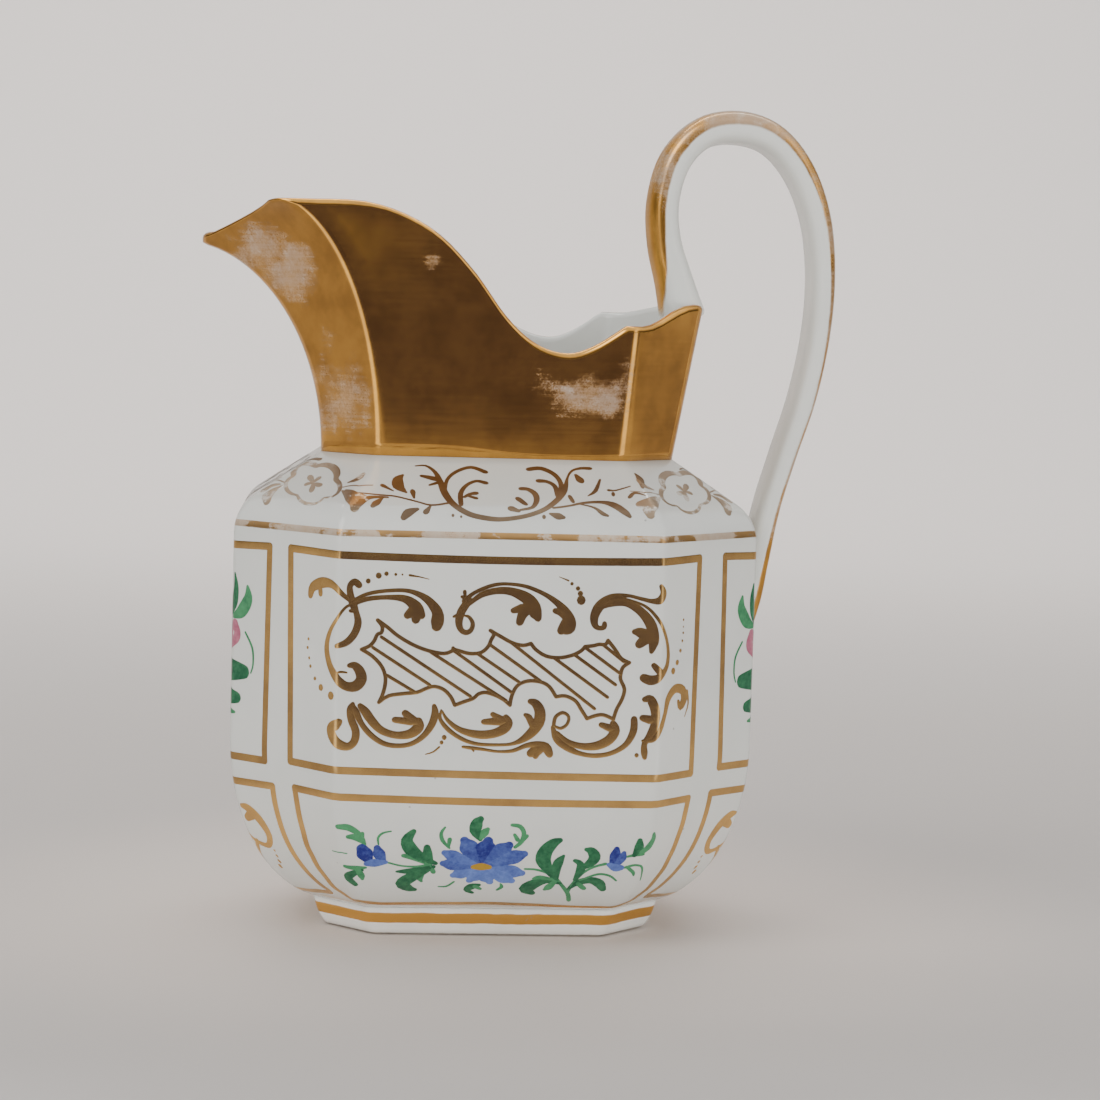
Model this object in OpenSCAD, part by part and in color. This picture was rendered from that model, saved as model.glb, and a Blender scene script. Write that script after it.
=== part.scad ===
// Porcelain cream jug: an eight-sided helmet jug on a foot ring, with a high strap handle.
// The spout points to -X, the handle to +X, and Z = 0 is the plane the foot stands on.
// Every facet of the body keeps the same upright outline, so its corners are mitred:
// an "inset" is how far a facet stands in from the widest part of the body.

/* [Body] */
// Length of the body between its two end facets
body_l = 106; // [100:1:110]
// Depth of the body between its front and back facets
body_d = 84; // [80:1:90]
// Length that each 45 degree corner facet takes off the front and the end
facet_leg = 21.2; // [19:0.2:23]
// Thickness of the body's wall
body_wall = 3; // [2.4:0.1:3.6]

/* [Heights] */
// Height of the foot ring
foot_h = 6.2; // [5.8:0.1:6.8]
// Height at which the belly reaches its full width
belly_top = 40; // [38:1:44]
// Height at which the upright wall starts to round over into the shoulder
shoulder_z = 81.5; // [78:0.5:83]
// Height of the angle between the shoulder and the neck
neck_z = 97.8; // [97:0.1:99]

/* [Foot ring] */
// Inset of the foot ring where it stands on the table
foot_inset_low = 20.2; // [19.5:0.1:21]
// Inset of the foot ring where it meets the belly
foot_inset_top = 17.5; // [17:0.1:18.5]
// Width of the foot ring's band, seen from below
foot_band = 4; // [3:0.2:5]

/* [Neck and spout] */
// Inset of the neck where it leaves the shoulder
neck_inset = 17; // [16.5:0.1:17.5]
// How far the neck leans outwards for each millimetre that it rises
neck_flare = 0.166; // [0.1:0.002:0.2]
// Thickness of the neck's wall
neck_wall = 2.5; // [2:0.1:3]
// Reach of the spout beyond the neck
spout_reach = 30.5; // [27:0.5:32]
// Height over which the front edge of the spout sweeps outwards
spout_rise = 42.2; // [41:0.2:44]
// Reach of the curved edge between the spout and the front facet
edge_reach = 23; // [20:0.5:25]
// How much higher the hand-cut rim stands at the back than at the front
back_rise = 2.8; // [0:0.2:3.4]

/* [Handle] */
// Width of the strap handle
strap_w = 16; // [13:0.5:18]
// Thickness of the strap where it rises from the rim
strap_t_rim = 6.6; // [6:0.1:7.2]
// Thickness of the strap where it comes down to the body
strap_t_body = 4.8; // [4.4:0.1:5.4]
// Height of the rim under the handle, where the strap is stuck on
handle_seat_z = 129.6; // [129:0.1:131]

/* [Hidden] */
// An inset moves a corner sideways by this much of itself, because the facets turn by 45 degrees
corner_slip = tan(22.5);
// Quarter ellipse of the belly, outside; the inside starts a little higher above the floor
belly_rise = 34.5;
belly_sweep = 22;
belly_lift = 0.3;
// Radius of the bend between the upright wall and the shoulder
shoulder_r = 9.3;
// The shoulder rises 1 for each 1.5 that it comes in
shoulder_run = 1.5;
shoulder_fall = atan(1 / shoulder_run);
floor_z = foot_h + body_wall;
// How far the foot ring's outer face hollows in at half its height
foot_hollow = 0.3;
arc_steps = 12;
// Any cutter or prism overruns what it cuts by this much
overrun = 1;
white = [0.92, 0.93, 0.91];
gold = [0.66, 0.48, 0.2];

// Inset of a quarter ellipse of the given rise and sweep, at height z
function belly_inset(z, rise, sweep) = sweep * (1 - sqrt(1 - pow(min(1, (belly_top - z) / rise), 2)));

// Points [inset, z] along the belly, from z0 up to the upright wall
function belly_arc(z0, rise, sweep, offset) =
    let (first = asin((belly_top - z0) / rise))
    [for (i = [0 : arc_steps])
        let (z = belly_top - rise * sin(first * (1 - i / arc_steps)))
        [offset + belly_inset(z, rise, sweep), z]];

// Points [inset, z] round the top of the wall, up to the start of the straight shoulder
function shoulder_arc(r) =
    [for (i = [0 : arc_steps])
        let (a = (90 - shoulder_fall) * i / arc_steps)
        [shoulder_r - r * cos(a), shoulder_z + r * sin(a)]];

// Solid whose eight facets all follow one profile of [inset, z] points
module mitred(profile) {
    diagonal = (body_l + body_d) / 2 - facet_leg;
    intersection() {
        upright_prism(profile, body_d / 2, 0);
        upright_prism(profile, body_l / 2, 90);
        upright_prism(profile, diagonal / sqrt(2), 45);
        upright_prism(profile, diagonal / sqrt(2), -45);
    }
}

// Long bar whose two sides follow the profile, at a given half width, turned about Z
module upright_prism(profile, half, turn) {
    last = len(profile) - 1;
    right = [for (p = profile) [half - p[0], p[1]]];
    left = [for (i = [last : -1 : 0]) [profile[i][0] - half, profile[i][1]]];
    rotate([0, 0, turn])
        rotate([90, 0, 90])
            linear_extrude(height = 2 * body_l, center = true)
                polygon(concat(right, left));
}

module foot_ring() {
    middle = (foot_inset_low + foot_inset_top) / 2 - foot_hollow;
    inner = foot_inset_low + foot_band;
    color(white)
        difference() {
            mitred([[foot_inset_low, 0], [middle, foot_h / 2], [foot_inset_top, foot_h]]);
            mitred([[inner, -overrun], [inner, foot_h + overrun]]);
        }
}

module body_shell() {
    slope_end = [neck_inset, neck_z];
    inner_mouth = neck_inset + neck_wall;
    // Insets at the neck of the shoulder's lower side, moved in by the wall's thickness
    inner_slope = neck_inset + body_wall * sqrt(1 + pow(shoulder_run, 2));
    mouth_z = neck_z - (inner_slope - inner_mouth) / shoulder_run;
    outer = concat(belly_arc(foot_h, belly_rise, belly_sweep, 0), shoulder_arc(shoulder_r), [slope_end]);
    inner = concat(
        belly_arc(floor_z, belly_rise - body_wall - belly_lift, belly_sweep - body_wall, body_wall),
        shoulder_arc(shoulder_r - body_wall),
        [[inner_mouth, mouth_z], [inner_mouth, neck_z + overrun]]
    );
    color(white)
        difference() {
            mitred(outer);
            mitred(inner);
        }
}

// ---- Neck and spout: rings of stations, each station rising to its own height on the rim ----

// Catmull-Rom curve through a list of [x, y, ...] points, sampled at parameter u = 0 .. n - 1
function curve_at(pts, u) =
    let (last = len(pts) - 1, i = min(last - 1, floor(u)), t = u - i,
         p0 = pts[max(0, i - 1)], p1 = pts[i], p2 = pts[i + 1], p3 = pts[min(last, i + 2)])
    0.5 * (2 * p1 + (p2 - p0) * t + (2 * p0 - 5 * p1 + 4 * p2 - p3) * t * t
        + (3 * p1 - p0 - 3 * p2 + p3) * t * t * t);

// Smooth step from 0 at a to 1 at b
function ease(a, b, x) = let (t = max(0, min(1, (x - a) / (b - a)))) t * t * (3 - 2 * t);

// Rise of the curved edge between the spout and the front facet
edge_rise = 50.5;
// The lip's inner face starts one wall in, and sweeps a little less over a little more height
lip_less = 1.5;
lip_more = 1.8;
// The front facet draws in towards the spout by pinch_in over pinch_rise
pinch_in = 3.5;
pinch_rise = 47;
// Half widths that the lip keeps at its very tip, outside and inside
tip_half = 2.4;
tip_half_in = 1;

// Outward sweep of a quarter ellipse, stopped at a limit just short of level
function sweep_out(h, reach, rise, limit = 0.985) =
    reach * (1 - sqrt(1 - pow(min(h / rise, limit), 2)));

function neck_in(z) = neck_inset - neck_flare * (z - neck_z);
function half_depth(z) = body_d / 2 - neck_in(z);
function end_x(z) = body_l / 2 - neck_in(z);
function end_y(z) = body_d / 2 - facet_leg - corner_slip * neck_in(z);
function front_x(z) = body_l / 2 - facet_leg - corner_slip * neck_in(z);
function edge_x(z) = front_x(neck_z) + sweep_out(z - neck_z, edge_reach, edge_rise, 0.99);
function lip_x(z) = end_x(neck_z) + sweep_out(z - neck_z, spout_reach, spout_rise);
function lip_in_x(z) =
    end_x(neck_z) - neck_wall + sweep_out(z - neck_z, spout_reach - lip_less, spout_rise + lip_more);
function pinch(z) = pinch_in * pow((z - neck_z) / pinch_rise, 2);
function lip_y(z) = max(tip_half, half_depth(z) - pinch(z) - (lip_x(z) - edge_x(z)));

// Points of the cut rim along the front facet, as [x, height]
corner_rim_z = 124.9;
spout_rim_z = 148.2;
rim_cut = [[26.6, corner_rim_z], [20, 120.9], [14, 119.2], [7, 121], [0.5, 126.2], [-7, 135.4],
    [-16, 143.3], [-28, 147.8], [-42, spout_rim_z]];
// Drop of the rim from the front of the spout to the tip of its lip
lip_drop = 6.4;
rim_steps = 2 * (len(rim_cut) - 1);
facet_steps = 5;
rise_steps = 14;

// Stations: [facet, place along it, side, rim height], from the lip round the front to the handle
function half_round(side) = concat(
    [for (i = [0 : facet_steps - 1])
        let (f = i / facet_steps) ["spout", 1 - f, side, spout_rim_z - lip_drop * pow(1 - f, 1.5)]],
    [for (i = [rim_steps : -1 : 0])
        let (p = curve_at(rim_cut, i / 2),
             z = p[1] + (side > 0 ? back_rise * ease(-20, 10, p[0]) : 0),
             left = -edge_x(z), right = front_x(z))
        ["front", max(0, min(1, (p[0] - left) / (right - left))), side, z]],
    [for (i = [1 : 3])
        let (f = i / 3, z0 = corner_rim_z + (side > 0 ? back_rise : 0))
        ["corner", f, side, z0 + (handle_seat_z - z0) * f]]
);

stations = let (back = half_round(1)) concat(
    half_round(-1),
    [for (i = [len(back) - 1 : -1 : 0]) back[i]]
);

function mix(a, b, f) = a + (b - a) * f;

// Point of a station at height z, moved inwards by the wall's thickness w
function neck_point(s, z, w) =
    let (k = corner_slip * w, depth = half_depth(z) - w,
         spout_y = depth - pinch(z),
         left = [-edge_x(z) + k, spout_y], right = [front_x(z) - k, depth],
         lip = [-(w > 0 ? lip_in_x(z) : lip_x(z)), max(tip_half_in, lip_y(z) - k)],
         end = [end_x(z) - w, end_y(z) - k],
         p = s[0] == "spout" ? mix(left, lip, s[1])
             : s[0] == "front" ? [mix(left[0], right[0], s[1]), depth - pinch(z) * pow(1 - s[1], 3)]
             : mix(right, end, s[1]))
    [p[0], s[2] * p[1], z];

module neck_and_spout() {
    n = len(stations);
    m = rise_steps + 1;
    rings = [for (w = [0, neck_wall]) for (j = [0 : rise_steps]) for (s = stations)
        neck_point(s, mix(neck_z, s[3], sin(90 * j / rise_steps)), w)];
    // Index of station i on level j of the outer (0) or inner (1) skin
    function at(skin, j, i) = skin * n * m + j * n + i % n;
    function quad(a, b, c, d) = [[a, b, c], [a, c, d]];
    skins = [for (j = [0 : rise_steps - 1]) for (i = [0 : n - 1])
        each concat(
            quad(at(0, j, i), at(0, j + 1, i), at(0, j + 1, i + 1), at(0, j, i + 1)),
            quad(at(1, j, i), at(1, j, i + 1), at(1, j + 1, i + 1), at(1, j + 1, i)))];
    edges = [for (i = [0 : n - 1])
        each concat(
            quad(at(0, 0, i), at(0, 0, i + 1), at(1, 0, i + 1), at(1, 0, i)),
            quad(at(0, m - 1, i), at(1, m - 1, i), at(1, m - 1, i + 1), at(0, m - 1, i + 1)))];
    color(gold)
        polyhedron(points = rings, faces = concat(skins, edges), convexity = 8);
}

// ---- Strap handle: a flat oval section carried along a curve in the X-Z plane ----

// Middle line of the strap as [x, z, thickness, width], from the rim over the top to the body
strap_line = [
    [39.2, 125, 9.6, strap_w + 1], [36.7, 134, 7.6, strap_w], [34.3, 142.5, strap_t_rim, strap_w],
    [33.8, 151, 6.3, strap_w], [36.2, 159.6, 6.4, strap_w], [41.8, 165.3, 6.6, strap_w],
    [49.4, 166.5, 6.8, strap_w], [56.6, 164, 6.3, strap_w], [62.4, 157.2, 5.8, strap_w],
    [66.1, 147.5, 5.4, strap_w], [67.4, 136, 5.1, strap_w], [66.8, 124, 5, strap_w],
    [64.4, 111, 5, strap_w], [60.8, 99, strap_t_body, strap_w], [57.7, 88, strap_t_body, strap_w],
    [55.6, 77, strap_t_body + 0.2, strap_w - 0.5], [54.5, 69, 4.6, strap_w - 2],
    [53, 61.2, 3.6, strap_w - 5.5]
];
section_sides = 16;
steps_per_span = 3;
// Below 1 the oval section is squared off
squareness = 0.6;

// Point of the squared-off oval of half width 1, at angle a
function oval(a) = let (c = cos(a), s = sin(a))
    [sign(c) * pow(abs(c), squareness), sign(s) * pow(abs(s), squareness)];

module strap() {
    spans = len(strap_line) - 1;
    count = spans * steps_per_span;
    n = section_sides;
    rings = [for (j = [0 : count])
        let (u = j / steps_per_span, p = curve_at(strap_line, u),
             ahead = curve_at(strap_line, min(spans, u + 0.05)),
             behind = curve_at(strap_line, max(0, u - 0.05)),
             run = [ahead[0] - behind[0], ahead[1] - behind[1]],
             d = run / norm(run))
        for (i = [0 : n - 1])
            let (o = oval(360 * (i + 0.5) / n), across = o[0] * p[2] / 2)
            [p[0] - d[1] * across, o[1] * p[3] / 2, p[1] + d[0] * across]];
    sides = [for (j = [0 : count - 1]) for (i = [0 : n - 1])
        let (a = j * n + i, b = j * n + (i + 1) % n)
        each [[a, b, b + n], [a, b + n, a + n]]];
    polyhedron(
        points = rings,
        faces = concat(sides, [[for (i = [n - 1 : -1 : 0]) i]], [[for (i = [0 : n - 1]) count * n + i]]),
        convexity = 6
    );
}

module handle() {
    color(white)
        difference() {
            strap();
            // Foot of the strap, cut level with the rim
            translate([end_x(neck_z) - strap_w, -strap_w, neck_z])
                cube([strap_w, 2 * strap_w, handle_seat_z - neck_z]);
            // Tail of the strap, cut flush with the end facet
            translate([body_l / 2 - strap_w, -strap_w, belly_top])
                cube([strap_w, 2 * strap_w, neck_z - belly_top]);
        }
}

// Slip pressed down inside the neck, under the foot of the strap: a wedge from a wide pad
// at the top to a narrow edge against the end wall
luting_h = 7;
luting_x = 34.9;
luting_gap = 0.1;
pad_t = 0.6;
pad_half = 7.6;
edge_half = 5;

module rim_luting() {
    pad_z = handle_seat_z - pad_t;
    low_z = handle_seat_z - luting_h;
    color(white)
        hull() {
            translate([luting_x, -pad_half, pad_z])
                cube([end_x(pad_z) - neck_wall - luting_gap - luting_x, 2 * pad_half, pad_t]);
            translate([end_x(low_z) - neck_wall - luting_gap - pad_t, -edge_half, low_z])
                cube([pad_t, 2 * edge_half, pad_t]);
        }
}

// Slip that fills the notch between the strap and the rounded shoulder
module body_luting() {
    turn = 28;
    width = strap_w - 3;
    notch = [for (i = [0 : 6])
        let (a = turn * i / 6)
        [body_l / 2 - shoulder_r + shoulder_r * cos(a), shoulder_z + shoulder_r * sin(a)]];
    color(white)
        rotate([90, 0, 0])
            linear_extrude(height = width, center = true)
                polygon(concat(notch, [[body_l / 2, shoulder_z + shoulder_r * sin(turn)]]));
}

foot_ring();
body_shell();
neck_and_spout();
handle();
rim_luting();
body_luting();
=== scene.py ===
"""Porcelain cream jug: the visual model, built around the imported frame.

The jug is eight-sided. All outlines are worked out in millimetres from a few
driving sizes and turned into metres as each mesh is made. The spout points to
-X, the handle to +X and the front facet to -Y; the foot stands on Z = 0.
"""

import logging
import math
from dataclasses import dataclass, field
from enum import Enum
from typing import Callable, Sequence

import bpy
from mathutils import Matrix, Vector


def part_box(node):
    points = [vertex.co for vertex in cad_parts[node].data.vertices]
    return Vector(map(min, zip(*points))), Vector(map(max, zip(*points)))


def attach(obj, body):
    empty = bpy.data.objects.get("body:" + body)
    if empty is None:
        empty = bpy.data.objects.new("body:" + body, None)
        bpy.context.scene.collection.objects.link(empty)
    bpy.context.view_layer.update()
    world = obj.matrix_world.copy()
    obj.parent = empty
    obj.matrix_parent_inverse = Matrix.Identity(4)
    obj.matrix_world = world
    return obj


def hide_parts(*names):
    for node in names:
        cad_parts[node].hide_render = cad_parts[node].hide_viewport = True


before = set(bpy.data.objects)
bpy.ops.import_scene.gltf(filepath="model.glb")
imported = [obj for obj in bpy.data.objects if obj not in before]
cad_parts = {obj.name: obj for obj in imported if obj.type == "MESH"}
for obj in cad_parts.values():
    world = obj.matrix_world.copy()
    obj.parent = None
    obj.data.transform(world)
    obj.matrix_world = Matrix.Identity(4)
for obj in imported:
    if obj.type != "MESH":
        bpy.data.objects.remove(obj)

MM = 0.001
BODY = "root"
CORNER_SLIP = math.tan(math.radians(22.5))
MOST_OF_A_SIDE = 0.45
GLASS_IOR = 1.52
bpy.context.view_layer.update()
Point2 = tuple[float, float]
log = logging.getLogger("cream_jug")


# ---------------------------------------------------------------- curves and meshes


def mix(a: float, b: float, f: float) -> float:
    """Value a fraction f of the way from a to b."""
    return a + (b - a) * f


def ease(a: float, b: float, x: float) -> float:
    """Smooth step from 0 at a to 1 at b, whichever is the greater."""
    t = max(0.0, min(1.0, (x - a) / (b - a)))
    return t * t * (3 - 2 * t)


def curve_at(points: Sequence[Sequence[float]], u: float) -> tuple[float, ...]:
    """Point of a Catmull-Rom curve.

    Args:
        points: control points of any dimension.
        u: parameter from 0 at the first point to len(points) - 1 at the last.

    Returns:
        The point at u.
    """
    last = len(points) - 1
    i = max(0, min(last - 1, int(u)))
    t = u - i
    around = [points[max(0, min(last, i + k))] for k in (-1, 0, 1, 2)]
    return tuple(
        0.5 * (2 * b + (c - a) * t + (2 * a - 5 * b + 4 * c - d) * t * t
               + (3 * b - a - 3 * c + d) * t ** 3)
        for a, b, c, d in zip(*around)
    )


def rounded_ring(corners: Sequence[Point2], radius: float, arc: int, side: int) -> list[Point2]:
    """Closed outline with its corners rounded, always with the same number of points.

    Args:
        corners: the sharp corners, counter-clockwise.
        radius: radius of the rounding.
        arc: steps round each corner.
        side: steps along each straight side.

    Returns:
        Points of the outline, starting on the arc at the first corner.
    """
    n = len(corners)
    arcs = [corner_arc(corners[i - 1], corners[i], corners[(i + 1) % n], radius, arc)
            for i in range(n)]
    ring: list[Point2] = []
    for i, points in enumerate(arcs):
        ring += points
        start, end = points[-1], arcs[(i + 1) % n][0]
        ring += [(mix(start[0], end[0], k / side), mix(start[1], end[1], k / side))
                 for k in range(1, side)]
    return ring


def corner_arc(before: Point2, corner: Point2, after: Point2, radius: float,
               steps: int) -> list[Point2]:
    """Points round one corner, from the side that comes in to the side that goes out.

    Args:
        before: a point on the incoming side.
        corner: the sharp corner.
        after: a point on the outgoing side.
        radius: radius of the rounding.
        steps: number of steps round it.

    Returns:
        steps + 1 points.
    """
    c = Vector(corner)
    a, b = (Vector(before) - c), (Vector(after) - c)
    inner = a.angle(b)
    reach = min(radius / math.tan(inner / 2), MOST_OF_A_SIDE * min(a.length, b.length))
    r = reach * math.tan(inner / 2)
    a, b = a.normalized(), b.normalized()
    centre = c + (a + b).normalized() * (r / math.sin(inner / 2))
    first = c + a * reach - centre
    turn = math.pi - inner
    points = []
    for k in range(steps + 1):
        angle = turn * k / steps
        x = first.x * math.cos(angle) - first.y * math.sin(angle)
        y = first.x * math.sin(angle) + first.y * math.cos(angle)
        points.append((centre.x + x, centre.y + y))
    return points


def squared(angle: float, squareness: float) -> Point2:
    """Point of a rounded oblong of half size 1; less squareness makes it squarer."""
    c, s = math.cos(angle), math.sin(angle)
    return math.copysign(abs(c) ** squareness, c), math.copysign(abs(s) ** squareness, s)


def skin(name: str, rings: Sequence[Sequence[Sequence[float]]],
         closed: bool = False) -> bpy.types.Object:
    """Closed smooth mesh through a stack of rings with equal numbers of points.

    Args:
        name: name of the new object.
        rings: rings of (x, y, z) in millimetres, each counter-clockwise seen from
            the end of the stack.
        closed: join the last ring to the first, instead of capping both ends.

    Returns:
        The new object, in metres, linked to the scene.
    """
    n, m = len(rings[0]), len(rings)
    points = [tuple(v * MM for v in p) for ring in rings for p in ring]
    faces: list[tuple[int, ...]] = []
    for j in range(m if closed else m - 1):
        a, b = j * n, ((j + 1) % m) * n
        faces += [(a + i, a + (i + 1) % n, b + (i + 1) % n, b + i) for i in range(n)]
    if not closed:
        for ring, base in ((rings[0], 0), (rings[-1], (m - 1) * n)):
            centre = [sum(p[k] for p in ring) / n * MM for k in range(3)]
            points.append(tuple(centre))
            hub = len(points) - 1
            for i in range(n):
                pair = (base + i, base + (i + 1) % n)
                faces.append((hub, *(pair if base else pair[::-1])))
    mesh = bpy.data.meshes.new(name)
    mesh.from_pydata(points, [], faces)
    mesh.validate()
    mesh.shade_smooth()
    piece = bpy.data.objects.new(name, mesh)
    bpy.context.scene.collection.objects.link(piece)
    return piece


def mark(piece: bpy.types.Object, name: str, values: Sequence[float]) -> None:
    """Stores one number for each vertex, for a material to read."""
    layer = piece.data.attributes.new(name, "FLOAT", "POINT")
    padded = list(values) + [0.0] * (len(piece.data.vertices) - len(values))
    layer.data.foreach_set("value", padded)


# ---------------------------------------------------------------- the jug's form


@dataclass(frozen=True)
class JugForm:
    """Outline rules that every piece shares, in millimetres.

    An inset is how far a facet stands in from the widest part of the body.
    """

    length: float
    depth: float
    facet_leg: float = 21.2
    wall: float = 3.0
    foot_h: float = 6.2
    belly_top: float = 40.0
    belly_rise: float = 34.5
    belly_sweep: float = 22.0
    shoulder_z: float = 81.5
    shoulder_r: float = 9.3
    shoulder_run: float = 1.5
    neck_z: float = 97.8
    neck_inset: float = 17.0
    neck_flare: float = 0.166
    neck_wall: float = 2.5
    edge_round: float = 2.6
    corner_blend: float = 1.8
    slope_step: float = 0.2

    @classmethod
    def from_frame(cls) -> "JugForm":
        """Takes the body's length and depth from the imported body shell."""
        low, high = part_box("body_shell")
        return cls(length=(high[0] - low[0]) / MM, depth=(high[1] - low[1]) / MM)

    def belly_inset(self, z: float, rise: float, sweep: float) -> float:
        """Inset of a quarter ellipse at height z."""
        return sweep * (1 - math.sqrt(max(0.0, 1 - min(1.0, (self.belly_top - z) / rise) ** 2)))

    @property
    def shoulder_turn(self) -> float:
        """Angle through which the wall rounds over into the shoulder."""
        return math.pi / 2 - math.atan(1 / self.shoulder_run)

    def outer_inset(self, z: float) -> float:
        """Inset of the body's outside at height z, from the foot to the neck."""
        if z < self.belly_top:
            return self.belly_inset(z, self.belly_rise, self.belly_sweep)
        if z < self.shoulder_z:
            return 0.0
        turn_z = self.shoulder_z + self.shoulder_r * math.sin(self.shoulder_turn)
        if z < turn_z:
            s = (z - self.shoulder_z) / self.shoulder_r
            return self.shoulder_r * (1 - math.sqrt(1 - s * s))
        return self.neck_inset - self.shoulder_run * (self.neck_z - z)

    def corners(self, inset: float) -> list[Point2]:
        """The eight corners at an inset, counter-clockwise from the front facet's left."""
        x, y = self.length / 2 - inset, self.depth / 2 - inset
        slip = self.facet_leg + CORNER_SLIP * inset - inset
        quarter = [(x - slip, -y), (x, -y + slip)]
        right = quarter + [(px, -py) for px, py in reversed(quarter)]
        return [(-quarter[0][0], -y)] + right + [(-px, py) for px, py in reversed(right)][:3]

    def half_width(self, way: Point2, z: float) -> float:
        """Half the width of the facet that faces along way, at height z."""
        span = self.depth if way[0] else self.length
        return span / 2 - self.facet_leg - CORNER_SLIP * self.outer_inset(z)

    def surface(self, way: Point2, u: float, z: float) -> tuple[tuple, tuple]:
        """Place on the outside of the body, and the way it faces there.

        Args:
            way: the X and Y of the facet that u is measured on.
            u: distance along the surface from the facet's middle, to the right
                seen from outside.
            z: height.

        Returns:
            The point in millimetres and the outward unit vector.
        """
        inset = self.outer_inset(z)
        out, along = Vector((*way, 0.0)), Vector((-way[1], way[0], 0.0))
        half, reach = self.half_width(way, z), (self.length if way[0] else self.depth) / 2
        side = math.copysign(1.0, u)
        over = max(0.0, abs(u) - half)
        turned = (along * side - out).normalized()
        point = out * (reach - inset) + along * side * min(abs(u), half) + turned * over
        beside = (along * side + out).normalized()
        blend = self.corner_blend
        face_way = out.lerp(beside, ease(half - blend, half + blend, abs(u)))
        step = self.slope_step
        slope = (self.outer_inset(z + step) - self.outer_inset(z - step)) / (2 * step)
        facing = (face_way.normalized() + Vector((0, 0, slope))).normalized()
        return (point.x, point.y, z), tuple(facing)

    def ring(self, inset: float, z: float, rounding: float, arc: int = 6,
             side: int = 8) -> list[tuple]:
        """Rounded eight-sided ring at height z."""
        return [(x, y, z) for x, y in rounded_ring(self.corners(inset), rounding, arc, side)]


# ---------------------------------------------------------------- materials


def socket(node: bpy.types.Node, name: str, value: object) -> None:
    """Sets the default of a node's input."""
    node.inputs[name].default_value = value


class Nodes:
    """Short way to add and link the nodes of one tree."""

    MIX_INPUTS = (0, 6, 7)
    MIX_RESULT = 2

    def __init__(self, tree: bpy.types.NodeTree) -> None:
        """Keeps the tree that the nodes go into."""
        self.tree = tree

    def add(self, kind: str, inputs: dict | None = None, **settings: object) -> bpy.types.Node:
        """Adds a node.

        Args:
            kind: the node's type name.
            inputs: values or sockets for its inputs, by name or index.
            settings: properties of the node, such as operation.

        Returns:
            The new node.
        """
        node = self.tree.nodes.new(kind)
        for name, value in settings.items():
            setattr(node, name, value)
        for name, value in (inputs or {}).items():
            if isinstance(value, bpy.types.NodeSocket):
                self.tree.links.new(value, node.inputs[name])
            else:
                node.inputs[name].default_value = value
        return node

    def link(self, source: bpy.types.NodeSocket, node: bpy.types.Node, name: str) -> None:
        """Links a socket to a node's named input."""
        self.tree.links.new(source, node.inputs[name])

    def math(self, operation: str, a: object, b: object = 0.0,
             clamp: bool = False) -> bpy.types.NodeSocket:
        """Result of a Math node."""
        node = self.add("ShaderNodeMath", {0: a, 1: b}, operation=operation, use_clamp=clamp)
        return node.outputs[0]

    def centred(self, value: object, share: float) -> bpy.types.NodeSocket:
        """A value from 0 to 1, moved to lie round 0 and scaled by a share."""
        return self.math("MULTIPLY", self.math("SUBTRACT", value, 0.5), share)

    def height(self, at: object) -> bpy.types.NodeSocket:
        """Z of a place."""
        return self.add("ShaderNodeSeparateXYZ", {0: at}).outputs["Z"]

    def noise(self, at: object, scale: float, detail: float = 3.0,
              rough: float = 0.5) -> bpy.types.NodeSocket:
        """Noise value from 0 to 1, with scale in features per metre."""
        inputs = {"Vector": at, "Scale": scale, "Detail": detail, "Roughness": rough}
        return self.add("ShaderNodeTexNoise", inputs).outputs["Fac"]

    def step(self, value: object, low: object, high: object) -> bpy.types.NodeSocket:
        """Smooth 0 to 1 as the value goes from low to high."""
        inputs = {"Value": value, "From Min": low, "From Max": high}
        return self.add("ShaderNodeMapRange", inputs, interpolation_type="SMOOTHSTEP").outputs[0]

    def blend(self, factor: object, a: object, b: object) -> bpy.types.NodeSocket:
        """Colour a blended towards colour b."""
        node = self.add("ShaderNodeMix", data_type="RGBA", blend_type="MIX")
        for index, value in zip(self.MIX_INPUTS, (factor, a, b)):
            if isinstance(value, bpy.types.NodeSocket):
                self.tree.links.new(value, node.inputs[index])
            else:
                node.inputs[index].default_value = value
        return node.outputs[self.MIX_RESULT]


def new_group(name: str, inputs: Sequence[tuple], outputs: Sequence[tuple]) -> tuple:
    """Starts a shader node group.

    Args:
        name: name of the group.
        inputs: (name, socket type, default) of each input.
        outputs: (name, socket type) of each output.

    Returns:
        The group, its Nodes helper, its input node and its output node.
    """
    group = bpy.data.node_groups.new(name, "ShaderNodeTree")
    for title, kind, default in inputs:
        entry = group.interface.new_socket(title, in_out="INPUT", socket_type=kind)
        if default is not None:
            entry.default_value = default
    for title, kind in outputs:
        group.interface.new_socket(title, in_out="OUTPUT", socket_type=kind)
    n = Nodes(group)
    return group, n, n.add("NodeGroupInput"), n.add("NodeGroupOutput")


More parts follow.
